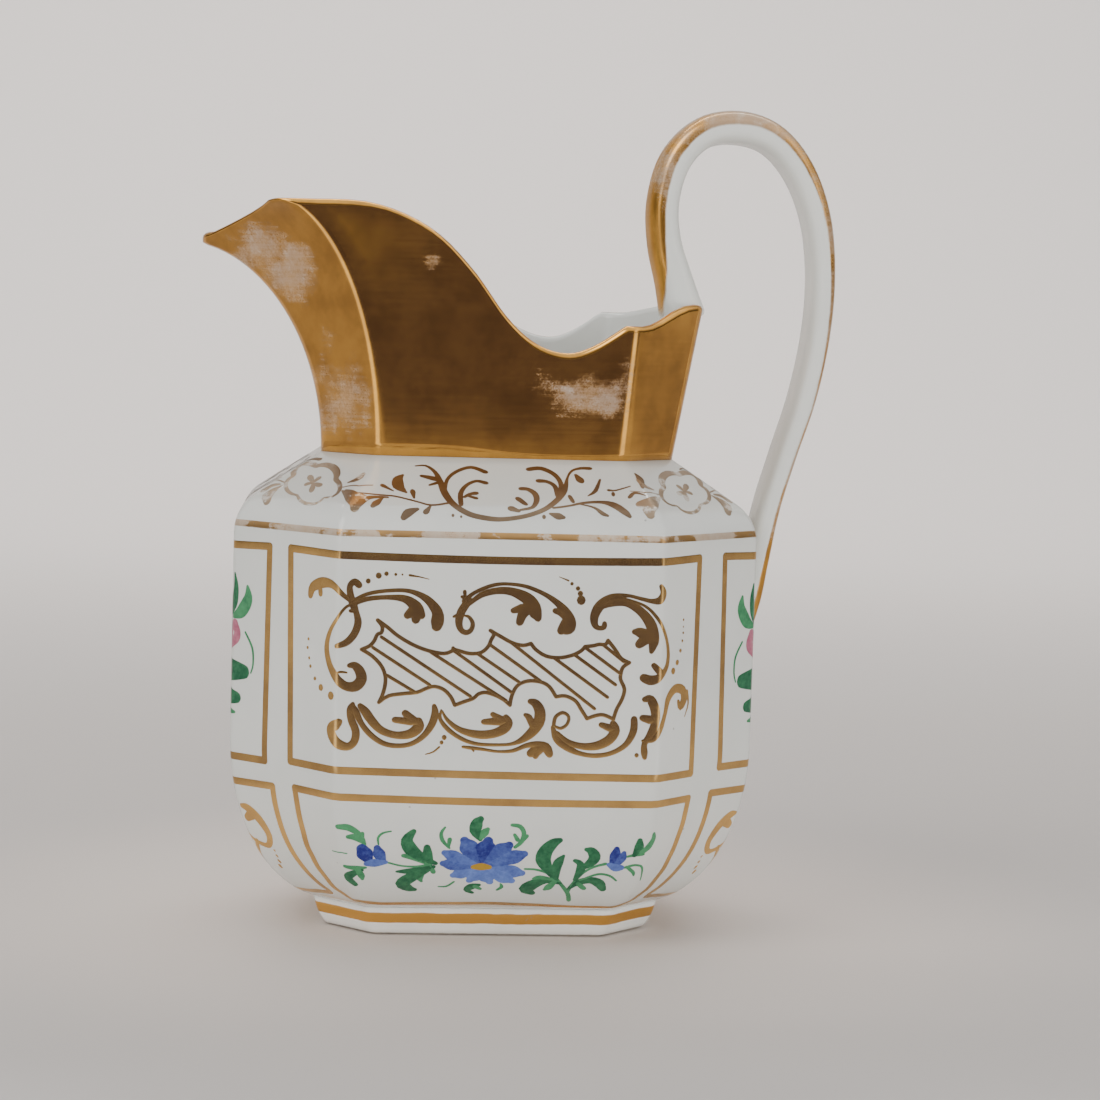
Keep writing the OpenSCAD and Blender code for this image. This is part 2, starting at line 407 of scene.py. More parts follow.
def kiln_marks() -> bpy.types.NodeTree:
    """Shared group: faint clouding, tiny kiln specks and the soft ripple of a glaze."""
    if "kiln_marks" in bpy.data.node_groups:
        return bpy.data.node_groups["kiln_marks"]
    group, n, source, out = new_group(
        "kiln_marks",
        [("Vector", "NodeSocketVector", None), ("Clouding", "NodeSocketFloat", 0.5),
         ("Speck Size", "NodeSocketFloat", 0.1)],
        [("Cloud", "NodeSocketFloat"), ("Specks", "NodeSocketFloat"),
         ("Ripple", "NodeSocketFloat")],
    )
    at = source.outputs["Vector"]
    cloud = n.step(n.noise(at, 38.0, detail=4.0, rough=0.6), 0.35, 0.72)
    n.link(n.math("MULTIPLY", cloud, source.outputs["Clouding"]), out, "Cloud")
    cells = n.add("ShaderNodeTexVoronoi", {"Vector": at, "Scale": 420.0})
    dot = n.math("LESS_THAN", cells.outputs["Distance"], source.outputs["Speck Size"])
    rare = n.math("GREATER_THAN", n.noise(at, 95.0, detail=1.0), 0.69)
    n.link(n.math("MULTIPLY", dot, rare), out, "Specks")
    n.link(n.noise(at, 170.0, detail=2.0, rough=0.4), out, "Ripple")
    return group


def gilt_wear() -> bpy.types.NodeTree:
    """Shared group: where fired gold is rubbed through, and how its surface varies."""
    if "gilt_wear" in bpy.data.node_groups:
        return bpy.data.node_groups["gilt_wear"]
    group, n, source, out = new_group(
        "gilt_wear",
        [("Vector", "NodeSocketVector", None), ("Wear", "NodeSocketFloat", 0.4),
         ("Patch Scale", "NodeSocketFloat", 60.0), ("Rub", "NodeSocketFloat", 0.0)],
        [("Bare", "NodeSocketFloat"), ("Tone", "NodeSocketFloat"),
         ("Burnish", "NodeSocketFloat")],
    )
    at = source.outputs["Vector"]
    level_streaks, raggedness = (60.0, 60.0, 1500.0), 0.2
    wide = n.add("ShaderNodeTexNoise", {"Vector": at, "Scale": source.outputs["Patch Scale"],
                                        "Detail": 5.0, "Roughness": 0.62}).outputs["Fac"]
    grain = n.noise(at, 2600.0, detail=2.0, rough=0.7)
    squash = n.add("ShaderNodeMapping", {"Vector": at, "Scale": level_streaks})
    brushed = n.noise(squash.outputs[0], 1.0, detail=4.0, rough=0.65)
    rubbed = n.math("ADD", wide, n.centred(grain, raggedness))
    rubbed = n.math("ADD", rubbed, n.centred(brushed, raggedness))
    rubbed = n.math("ADD", rubbed, n.math("MULTIPLY", source.outputs["Rub"], 0.6))
    edge = n.math("SUBTRACT", 0.86, n.math("MULTIPLY", source.outputs["Wear"], 0.5))
    softness = n.math("ADD", 0.05, n.math("MULTIPLY", source.outputs["Rub"], 0.4))
    n.link(n.step(rubbed, edge, n.math("ADD", edge, softness)), out, "Bare")
    n.link(n.noise(at, 130.0, detail=5.0, rough=0.6), out, "Tone")
    n.link(brushed, out, "Burnish")
    return group


@dataclass(frozen=True)
class Glaze:
    """Cool white porcelain under a clear gloss glaze."""

    colour: tuple = (0.79, 0.802, 0.765, 1.0)
    shade: tuple = (0.71, 0.73, 0.70, 1.0)
    speck: tuple = (0.22, 0.2, 0.18, 1.0)
    roughness: float = 0.09
    bare_below: float | None = None
    biscuit: tuple = (0.62, 0.58, 0.5, 1.0)
    grime: tuple = (0.40, 0.36, 0.3, 1.0)
    band: Point2 | None = None
    band_gold: tuple = (0.82, 0.45, 0.11, 1.0)

    def colour_of(self, n: Nodes, at: object) -> tuple:
        """Adds the glaze's colour and its ripple.

        Args:
            n: helper of the material's tree.
            at: coordinates in metres.

        Returns:
            The colour socket and the ripple socket.
        """
        marks = n.add("ShaderNodeGroup", node_tree=kiln_marks())
        n.link(at, marks, "Vector")
        clouded = n.blend(marks.outputs["Cloud"], self.colour, self.shade)
        faint = n.math("MULTIPLY", marks.outputs["Specks"], 0.55)
        return n.blend(faint, clouded, self.speck), marks.outputs["Ripple"]

    def material(self, name: str) -> bpy.types.Material:
        """Makes the finished material."""
        mat, n, shader, at = new_material(name)
        colour, ripple = self.colour_of(n, at)
        roughness: object = self.roughness
        gilt: object = 0.0
        if self.bare_below is not None:
            ragged = n.math("ADD", n.height(at), n.centred(n.noise(at, 700.0), 0.9 * MM))
            bare = n.step(ragged, self.bare_below, self.bare_below - 0.3 * MM)
            colour = n.blend(bare, colour, n.blend(n.noise(at, 500.0), self.biscuit, self.grime))
            roughness = n.math("ADD", n.math("MULTIPLY", bare, 0.6), roughness)
        if self.band is not None:
            low, high = self.band
            soft = 0.1 * MM
            ragged = n.math("ADD", n.height(at), n.centred(n.noise(at, 240.0), 0.5 * MM))
            over = n.step(ragged, low - soft, low + soft)
            under = n.step(ragged, high + soft, high - soft)
            kept = n.step(n.noise(at, 300.0, detail=4.0, rough=0.7), 0.72, 0.66)
            gilt = n.math("MULTIPLY", n.math("MULTIPLY", over, under), kept)
            colour = n.blend(gilt, colour, self.band_gold)
            roughness = n.math("ADD", n.math("MULTIPLY", gilt, 0.1), roughness)
        finish(n, shader, {"Base Color": colour, "Roughness": roughness, "IOR": GLASS_IOR,
                           "Metallic": gilt, "Subsurface Weight": 0.06}, ripple, 0.05)
        shader.inputs["Subsurface Radius"].default_value = (0.0014, 0.0012, 0.001)
        return mat


def new_material(name: str) -> tuple:
    """Starts a material.

    Args:
        name: name of the material.

    Returns:
        The material, its Nodes helper, its Principled shader and Object coordinates.
    """
    mat = bpy.data.materials.new(name)
    mat.use_nodes = True
    n = Nodes(mat.node_tree)
    shader = mat.node_tree.nodes["Principled BSDF"]
    at = n.add("ShaderNodeTexCoord").outputs["Object"]
    return mat, n, shader, at


def finish(n: Nodes, shader: bpy.types.Node, values: dict, height: object = None,
           strength: float = 0.1, distance: float = 0.05 * MM) -> None:
    """Sets the shader's inputs and its bump.

    Args:
        n: helper of the material's tree.
        shader: the Principled shader.
        values: plain values or sockets by input name.
        height: socket of the bump's height, if any.
        strength: strength of the bump.
        distance: height of the bump in metres.
    """
    for name, value in values.items():
        if isinstance(value, bpy.types.NodeSocket):
            n.link(value, shader, name)
        else:
            socket(shader, name, value)
    if height is not None:
        inputs = {"Strength": strength, "Distance": distance, "Height": height}
        n.link(n.add("ShaderNodeBump", inputs).outputs["Normal"], shader, "Normal")


@dataclass(frozen=True)
class Gilding:
    """Fired gold over the glaze, burnished, and rubbed through to a stained ground."""

    bright: tuple = (0.80, 0.41, 0.09, 1.0)
    deep: tuple = (0.54, 0.27, 0.065, 1.0)
    stain: tuple = (0.42, 0.33, 0.26, 1.0)
    thinnest: float = 0.78
    edge_tint: tuple = (1.0, 1.0, 1.0, 1.0)
    roughness: float = 0.17
    streaks: float = 0.12
    wear: float = 0.42
    patch_scale: float = 60.0
    glaze: Glaze = Glaze()

    def material(self, name: str, mask: str | None = None) -> bpy.types.Material:
        """Makes the finished material.

        Args:
            name: name of the material.
            mask: attribute that is over 0.5 where the gold is laid, or None for gold
                all over; with a mask, the attribute rub says where it is worn most.

        Returns:
            The material.
        """
        mat, n, shader, at = new_material(name)
        white, ripple = self.glaze.colour_of(n, at)
        worn = n.add("ShaderNodeGroup", node_tree=gilt_wear())
        socket(worn, "Wear", self.wear)
        socket(worn, "Patch Scale", self.patch_scale)
        n.link(at, worn, "Vector")
        lost = n.math("MULTIPLY", worn.outputs["Bare"], self.thinnest)
        gilt = n.math("SUBTRACT", 1.0, lost, clamp=True)
        ground = n.blend(n.noise(at, 500.0, detail=3.0, rough=0.7), white, self.stain)
        if mask:
            rub = n.add("ShaderNodeAttribute", attribute_name="rub").outputs["Fac"]
            n.link(rub, worn, "Rub")
            laid = n.add("ShaderNodeAttribute", attribute_name=mask).outputs["Fac"]
            wobble = n.centred(n.noise(at, 320.0), 0.05)
            painted = n.step(n.math("ADD", laid, wobble), 0.46, 0.54)
            gilt = n.math("MULTIPLY", gilt, painted)
            stained = n.step(n.noise(at, 420.0, detail=4.0, rough=0.7), 0.9, 0.45)
            ground = n.blend(n.math("MULTIPLY", painted, stained), white, self.stain)
        gold = n.blend(n.step(worn.outputs["Tone"], 0.3, 0.75), self.bright, self.deep)
        brushed = n.math("MULTIPLY", worn.outputs["Burnish"], self.streaks)
        gloss = n.math("ADD", self.roughness - self.streaks / 2, brushed)
        duller = n.math("MULTIPLY", gilt, n.math("SUBTRACT", gloss, self.glaze.roughness))
        rough = n.math("ADD", duller, self.glaze.roughness)
        finish(n, shader, {"Base Color": n.blend(gilt, ground, gold), "Metallic": gilt,
                           "Roughness": rough, "IOR": GLASS_IOR,
                           "Specular Tint": self.edge_tint}, ripple)
        return mat


@dataclass(frozen=True)
class Enamel:
    """Overglaze enamel, strong where the brush was full and thin where it was dry."""

    strong: tuple
    thin: tuple
    pooling: float = 0.8
    streak: float = 0.8
    roughness: float = 0.16

    def material(self, name: str) -> bpy.types.Material:
        """Makes the finished material; the attribute tone says how strong each stroke is."""
        mat, n, shader, at = new_material(name)
        tone = n.add("ShaderNodeAttribute", attribute_name="tone").outputs["Fac"]
        pooled = n.noise(at, 420.0, detail=3.0, rough=0.6)
        hairs = n.noise(at, 1100.0, detail=3.0, rough=0.7)
        uneven = n.math("ADD", n.math("MULTIPLY", pooled, self.pooling),
                        n.math("MULTIPLY", hairs, self.streak))
        level = (self.pooling + self.streak) / 2
        load = n.math("ADD", n.math("SUBTRACT", uneven, level), tone, clamp=True)
        colour = n.blend(load, self.thin, self.strong)
        finish(n, shader, {"Base Color": colour, "Roughness": self.roughness, "IOR": 1.5},
               pooled, 0.25)
        return mat


# ---------------------------------------------------------------- body and foot


@dataclass
class Foot:
    """The eight-sided ring that the jug stands on."""

    form: JugForm
    low_inset: float = 20.2
    top_inset: float = 17.5
    hollow: float = 0.5
    band: float = 4.0
    edge: float = 0.7
    chamfer: float = 0.6
    chamfer_from: float = 0.6
    corner_round: float = 2.2
    side_steps: int = 8
    edge_steps: int = 6

    def build(self, glaze: bpy.types.Material) -> bpy.types.Object:
        """Makes the ring, with its standing edge rounded and left unglazed."""
        f, h = self.form, self.form.foot_h
        section = []
        for share in (k / self.side_steps for k in range(1, self.side_steps + 1)):
            inset = mix(self.low_inset, self.top_inset, share)
            section.append((inset - self.hollow * math.sin(math.pi * share), h * share))
        inner = self.low_inset + self.band
        section += [(inner - self.chamfer, h), (inner, h * self.chamfer_from),
                    (inner, self.edge)]
        for turn in (math.pi * k / self.edge_steps for k in range(1, self.edge_steps)):
            section.append((mix(inner, self.low_inset, 0.5 - 0.5 * math.cos(turn)),
                            self.edge * (1 - math.sin(turn))))
        rings = [f.ring(inset, z, self.corner_round) for inset, z in section]
        piece = skin("foot", rings, closed=True)
        piece.data.materials.append(glaze)
        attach(piece, BODY)
        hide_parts("foot_ring")
        return piece


@dataclass
class Body:
    """The belly with its floor, the upright wall and the sloping shoulder."""

    form: JugForm
    belly_steps: int = 22
    wall_steps: int = 8
    bend_steps: int = 10
    slope_steps: int = 6
    inner_bend_steps: int = 8
    inner_belly_steps: int = 16
    floor_allowance: float = 0.3
    round_gain: float = 0.06

    def outside(self) -> list[Point2]:
        """Outer outline as (inset, z), from the foot up to the neck."""
        f = self.form
        first = math.asin((f.belly_top - f.foot_h) / f.belly_rise)
        belly = [f.belly_top - f.belly_rise * math.sin(first * (1 - k / self.belly_steps))
                 for k in range(self.belly_steps)]
        wall = [mix(f.belly_top, f.shoulder_z, k / self.wall_steps)
                for k in range(self.wall_steps)]
        bend = [f.shoulder_z + f.shoulder_r * math.sin(f.shoulder_turn * k / self.bend_steps)
                for k in range(self.bend_steps + 1)]
        slope = [mix(bend[-1], f.neck_z, k / self.slope_steps)
                 for k in range(1, self.slope_steps + 1)]
        return [(f.outer_inset(z), z) for z in belly + wall + bend + slope]

    def inside(self) -> list[Point2]:
        """Inner outline as (inset, z), from the mouth down to the floor."""
        f = self.form
        mouth = f.neck_inset + f.neck_wall
        r = f.shoulder_r - f.wall
        lean = f.wall * math.sqrt(1 + f.shoulder_run ** 2)
        mouth_z = f.neck_z - (f.neck_inset + lean - mouth) / f.shoulder_run
        bends = [f.shoulder_turn * k / self.inner_bend_steps
                 for k in range(self.inner_bend_steps, -1, -1)]
        bend = [(f.shoulder_r - r * math.cos(a), f.shoulder_z + r * math.sin(a)) for a in bends]
        rise, sweep = f.belly_rise - f.wall - self.floor_allowance, f.belly_sweep - f.wall
        floor_z = f.foot_h + f.wall
        first = math.asin((f.belly_top - floor_z) / rise)
        turns = [first * k / self.inner_belly_steps for k in range(self.inner_belly_steps + 1)]
        belly = [(f.wall + sweep * (1 - math.cos(a)), f.belly_top - rise * math.sin(a))
                 for a in turns]
        return [(mouth, f.neck_z), (mouth, mouth_z)] + bend + belly

    def build(self, glaze: bpy.types.Material) -> bpy.types.Object:
        """Makes the closed shell."""
        f = self.form
        rings = [f.ring(inset, z, f.edge_round + self.round_gain * inset)
                 for inset, z in self.outside()]
        rings += [f.ring(inset, z, f.edge_round) for inset, z in self.inside()]
        piece = skin("body", rings)
        piece.data.materials.append(glaze)
        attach(piece, BODY)
        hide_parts("body_shell")
        return piece


# ---------------------------------------------------------------- neck and spout


@dataclass
class Neck:
    """The flared neck, which grows into the helmet-shaped spout."""

    form: JugForm
    spout_reach: float = 30.5
    spout_rise: float = 42.2
    edge_reach: float = 23.0
    edge_rise: float = 50.5
    back_rise: float = 2.8
    seat_z: float = 129.6
    rim_high: float = 148.2
    lip_drop: float = 6.4
    edge_round: float = 4.6
    rubs: tuple = (
        (-54, 140.5, 5, 3.6, 0.55), (-48.5, 138, 8.5, 6, 0.8), (-43, 133.5, 7.5, 8, 0.9),
        (-61, 143, 3, 3, 0.7), (-32.6, 109, 9, 11, 0.84), (-35, 120, 4, 6, 0.6),
        (18, 111, 10, 7, 0.56), (9, 112, 5, 4, 0.32), (25, 115, 3.4, 11, 0.48),
        (27, 124, 4, 4, 0.42), (-14.4, 136.8, 3.6, 3, 0.54),
    )
    pinch: float = 3.5
    pinch_rise: float = 47.0
    lip_half: float = 2.4
    lip_half_inside: float = 1.0
    lip_less: float = 1.5
    lip_more: float = 1.8
    lip_bow: float = 1.5
    rise_steps: int = 30
    rim_steps: int = 8
    gilt_rim_steps: int = 5
    lip_steps: int = 12
    front_steps: int = 36
    end_steps: int = 6
    arc: int = 5
    back_lift: Point2 = (-20.0, 10.0)
    back_wear: float = 0.8
    rim_cut: tuple = (
        (26.6, 124.9), (20, 120.9), (14, 119.2), (7, 121), (0.5, 126.2), (-7, 135.4), (-16, 143.3),
        (-28, 147.8), (-42, 148.2),
    )

    def inset(self, z: float) -> float:
        """Inset of the plain facets at height z."""
        return self.form.neck_inset - self.form.neck_flare * (z - self.form.neck_z)

    def sweep(self, h: float, reach: float, rise: float, limit: float = 0.985) -> float:
        """How far a quarter-ellipse sweep has gone out at height h above the neck's foot."""
        return reach * (1 - math.sqrt(1 - max(0.0, min(h / rise, limit)) ** 2))

    def corners(self, z: float, w: float) -> list[Point2]:
        """Corners of the front half at height z, from the lip to the handle.

        Args:
            z: height.
            w: how far in from the outer surface.

        Returns:
            The corners of the lip, of the spout's edge, of the front facet and of the end.
        """
        f, t, h, k = self.form, self.inset(z), z - self.form.neck_z, CORNER_SLIP * w
        depth = f.depth / 2 - t
        facet_x = f.length / 2 - f.facet_leg
        front_x = facet_x - CORNER_SLIP * t
        edge_x = (facet_x - CORNER_SLIP * f.neck_inset
                  + self.sweep(h, self.edge_reach, self.edge_rise, 0.99))
        pinch = self.pinch * (h / self.pinch_rise) ** 2
        base_x = f.length / 2 - f.neck_inset
        lip_x = base_x + self.sweep(h, self.spout_reach, self.spout_rise)
        lip_y = max(self.lip_half, depth - pinch - (lip_x - edge_x))
        share = min(1.0, w / f.neck_wall)
        lip_in = base_x - f.neck_wall + self.sweep(h, self.spout_reach - self.lip_less,
                                                   self.spout_rise + self.lip_more)
        end_y = f.depth / 2 - f.facet_leg - CORNER_SLIP * t
        return [(-mix(lip_x, lip_in, share), -max(self.lip_half_inside, lip_y - k)),
                (-(edge_x - k), -(depth - pinch - w)), (front_x - k, -(depth - w)),
                (f.length / 2 - t - w, -(end_y - k))]

    def half(self, side: int) -> list[tuple]:
        """Stations of one half from the lip on, as (kind, corner, place, rim height)."""
        rise = self.back_rise if side > 0 else 0.0
        lip_z = self.rim_high - self.lip_drop
        corner_z = [lip_z, self.rim_high, self.rim_cut[0][1] + rise, self.seat_z]
        sides = (self.lip_stations(), self.front_stations(rise), self.end_stations(corner_z[2]), [])
        stations: list[tuple] = []
        for c, beside in enumerate(sides):
            stations += [("arc", c, k / self.arc, corner_z[c]) for k in range(self.arc + 1)]
            stations += beside
        return stations

    def lip_stations(self) -> list[tuple]:
        """Stations along the lip's slope, where the rim drops towards the tip in a bow."""
        places = (k / self.lip_steps for k in range(1, self.lip_steps))
        return [("side", 0, place, self.rim_high - self.lip_drop * (1 - place) ** self.lip_bow)
                for place in places]

    def end_stations(self, from_z: float) -> list[tuple]:
        """Stations along the narrow facet, where the rim climbs to the handle's seat."""
        places = (k / self.end_steps for k in range(1, self.end_steps))
        return [("side", 2, place, mix(from_z, self.seat_z, ease(0, 1, place)))
                for place in places]

    def front_stations(self, rise: float) -> list[tuple]:
        """Stations along the front facet, where the rim follows its cut curve."""
        stations = []
        for k in range(1, self.front_steps):
            x, z = curve_at(self.rim_cut, (len(self.rim_cut) - 1) * (1 - k / self.front_steps))
            z += rise * ease(*self.back_lift, x)
            points = self.corners(z, 0.0)
            place = (x - points[1][0]) / (points[2][0] - points[1][0])
            stations.append(("side", 1, max(0.0, min(1.0, place)), z))
        return stations

    def outline(self, stations: Sequence[tuple], side: int, w: float,
                level: Callable) -> list[tuple]:
        """Points of one half-ring.

        Args:
            stations: the half's stations.
            side: -1 for the front half, 1 for the back half.
            w: how far in from the outer surface.
            level: gives a station's height from its rim height.

        Returns:
            (x, y, z) for each station.
        """
        points = []
        for kind, c, place, rim in stations:
            z = level(rim)
            p = self.corners(z, w)
            loop = [(p[0][0], -p[0][1])] + p + [(p[3][0], -p[3][1])]
            arcs = [corner_arc(loop[i - 1], loop[i], loop[i + 1], self.edge_round, self.arc)
                    for i in ((c + 1, c + 2) if kind == "side" else (c + 1,))]
            if kind == "arc":
                x, y = arcs[0][round(place * self.arc)]
            else:
                a, b = arcs[0][-1], arcs[1][0]
                x, y = mix(a[0], b[0], place), mix(a[1], b[1], place)
            points.append((x, -side * y, z))
        return points

    def ring(self, w: float, level: Callable) -> list[tuple]:
        """Whole ring, counter-clockwise from the lip along the front."""
        front = self.outline(self.half(-1), -1, w, level)
        back = self.outline(self.half(1), 1, w, level)
        return front + back[::-1]

    def rub(self, x: float, y: float, z: float) -> float:
        """How much handling has rubbed the gold at a point; the back is worn a little less."""
        share = 1.0 if y < 0 else self.back_wear
        worst = 0.0
        for cx, cz, rx, rz, amount in self.rubs:
            away = math.hypot((x - cx) / rx, (z - cz) / rz)
            worst = max(worst, amount * ease(1.5, 0.1, away))
        return share * worst

    def build(self, gilding: bpy.types.Material) -> bpy.types.Object:
        """Makes the closed shell; its attribute gilt is 1 on the gilded outside."""
        z0, wall = self.form.neck_z, self.form.neck_wall
        lip = wall / 2
        heights = [math.sin(math.pi / 2 * j / self.rise_steps) for j in range(self.rise_steps + 1)]
        rings = [self.ring(0.0, lambda rim, s=s: mix(z0, rim - lip, s)) for s in heights]
        for a in (math.pi * k / self.rim_steps for k in range(1, self.rim_steps)):
            rings.append(self.ring(lip * (1 - math.cos(a)),
                                   lambda rim, a=a: rim - lip + lip * math.sin(a)))
        gilded = len(heights) + self.gilt_rim_steps - 1
        rings += [self.ring(wall, lambda rim, s=s: mix(z0, rim - lip, s)) for s in heights[::-1]]
        piece = skin("neck", rings, closed=True)
        mark(piece, "gilt", [float(j < gilded) for j, ring in enumerate(rings) for _ in ring])
        mark(piece, "rub", [self.rub(*point) for ring in rings for point in ring])
        piece.data.materials.append(gilding)
        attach(piece, BODY)
        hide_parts("neck_and_spout")
        return piece


# ---------------------------------------------------------------- painting on the glaze


Line = Sequence[tuple[float, float, float]]


class Face(Enum):
    """The four wide facets, by the way each looks in X and Y."""

    FRONT = (0, -1)
    HANDLE_END = (1, 0)
    BACK = (0, 1)
    SPOUT_END = (-1, 0)


def painted_film() -> bpy.types.NodeTree:
    """Node tree that turns centre lines into a thin raised film of paint on a surface."""
    if "painted_film" in bpy.data.node_groups:
        return bpy.data.node_groups["painted_film"]
    tree = bpy.data.node_groups.new("painted_film", "GeometryNodeTree")
    for title, kind, way in (
            ("Strokes", "NodeSocketGeometry", "INPUT"), ("Surface", "NodeSocketObject", "INPUT"),
            ("Film", "NodeSocketFloat", "INPUT"), ("Bed", "NodeSocketFloat", "INPUT"),
            ("Paint", "NodeSocketMaterial", "INPUT"), ("Painted", "NodeSocketGeometry", "OUTPUT")):
        tree.interface.new_socket(title, in_out=way, socket_type=kind)
    n = Nodes(tree)
    source, out = n.add("NodeGroupInput"), n.add("NodeGroupOutput")

    def named(attribute: str, kind: str) -> bpy.types.NodeSocket:
        """Reads a named attribute."""
        node = n.add("GeometryNodeInputNamedAttribute", {"Name": attribute}, data_type=kind)
        return node.outputs["Attribute"]

    sides, flatness, fold_angle = 12, 0.02, 1.0
    circle = n.add("GeometryNodeCurvePrimitiveCircle", {"Resolution": sides, "Radius": 1.0})
    place = n.add("GeometryNodeInputPosition").outputs[0]
    across = n.add("ShaderNodeSeparateXYZ", {0: place}).outputs["X"]
    brush = n.add("GeometryNodeStoreNamedAttribute",
                  {"Geometry": circle.outputs[0], "Name": "rise", "Value": across},
                  data_type="FLOAT", domain="POINT")
    flat = n.add("GeometryNodeTransform",
                 {"Geometry": brush.outputs[0], "Scale": (flatness, 1.0, 1.0)})
    curves = n.add("GeometryNodeMeshToCurve", {0: source.outputs["Strokes"]})
    facing = named("facing", "FLOAT_VECTOR")
    turned = n.add("GeometryNodeSetCurveNormal", {"Curve": curves.outputs[0], "Normal": facing},
                   mode="FREE")
    swept = n.add("GeometryNodeCurveToMesh",
                  {"Curve": turned.outputs[0], "Profile Curve": flat.outputs[0],
                   "Scale": named("half_width", "FLOAT"), "Fill Caps": True})
    surface = n.add("GeometryNodeObjectInfo", {"Object": source.outputs["Surface"]},
                    transform_space="ORIGINAL")
    near = n.add("GeometryNodeProximity", {0: surface.outputs["Geometry"]},
                 target_element="FACES")
    crown = n.math("MULTIPLY", named("rise", "FLOAT"), source.outputs["Film"])
    bed = n.math("MULTIPLY", named("rise", "FLOAT"), source.outputs["Bed"])
    height = n.math("ADD", n.math("MINIMUM", crown, bed), named("lift", "FLOAT"))
    lifted = n.add("ShaderNodeVectorMath", {0: facing, "Scale": height}, operation="SCALE")
    placed = n.add("ShaderNodeVectorMath", {0: near.outputs["Position"], 1: lifted.outputs[0]},
                   operation="ADD")
    laid = n.add("GeometryNodeSetPosition",
                 {"Geometry": swept.outputs[0], "Position": placed.outputs[0]})
    real = n.add("GeometryNodeRealizeInstances", {"Geometry": laid.outputs[0]})
    smooth = n.add("GeometryNodeSetShadeSmooth", {"Geometry": real.outputs[0]})
    angle = n.add("GeometryNodeInputMeshEdgeAngle").outputs["Unsigned Angle"]
    fold = n.math("GREATER_THAN", angle, fold_angle)
    crisp = n.add("GeometryNodeStoreNamedAttribute",
                  {"Geometry": smooth.outputs[0], "Name": "sharp_edge", "Value": fold},
                  data_type="BOOLEAN", domain="EDGE")
    painted = n.add("GeometryNodeSetMaterial",
                    {"Geometry": crisp.outputs[0], "Material": source.outputs["Paint"]})
    n.tree.links.new(painted.outputs[0], out.inputs[0])
    return tree


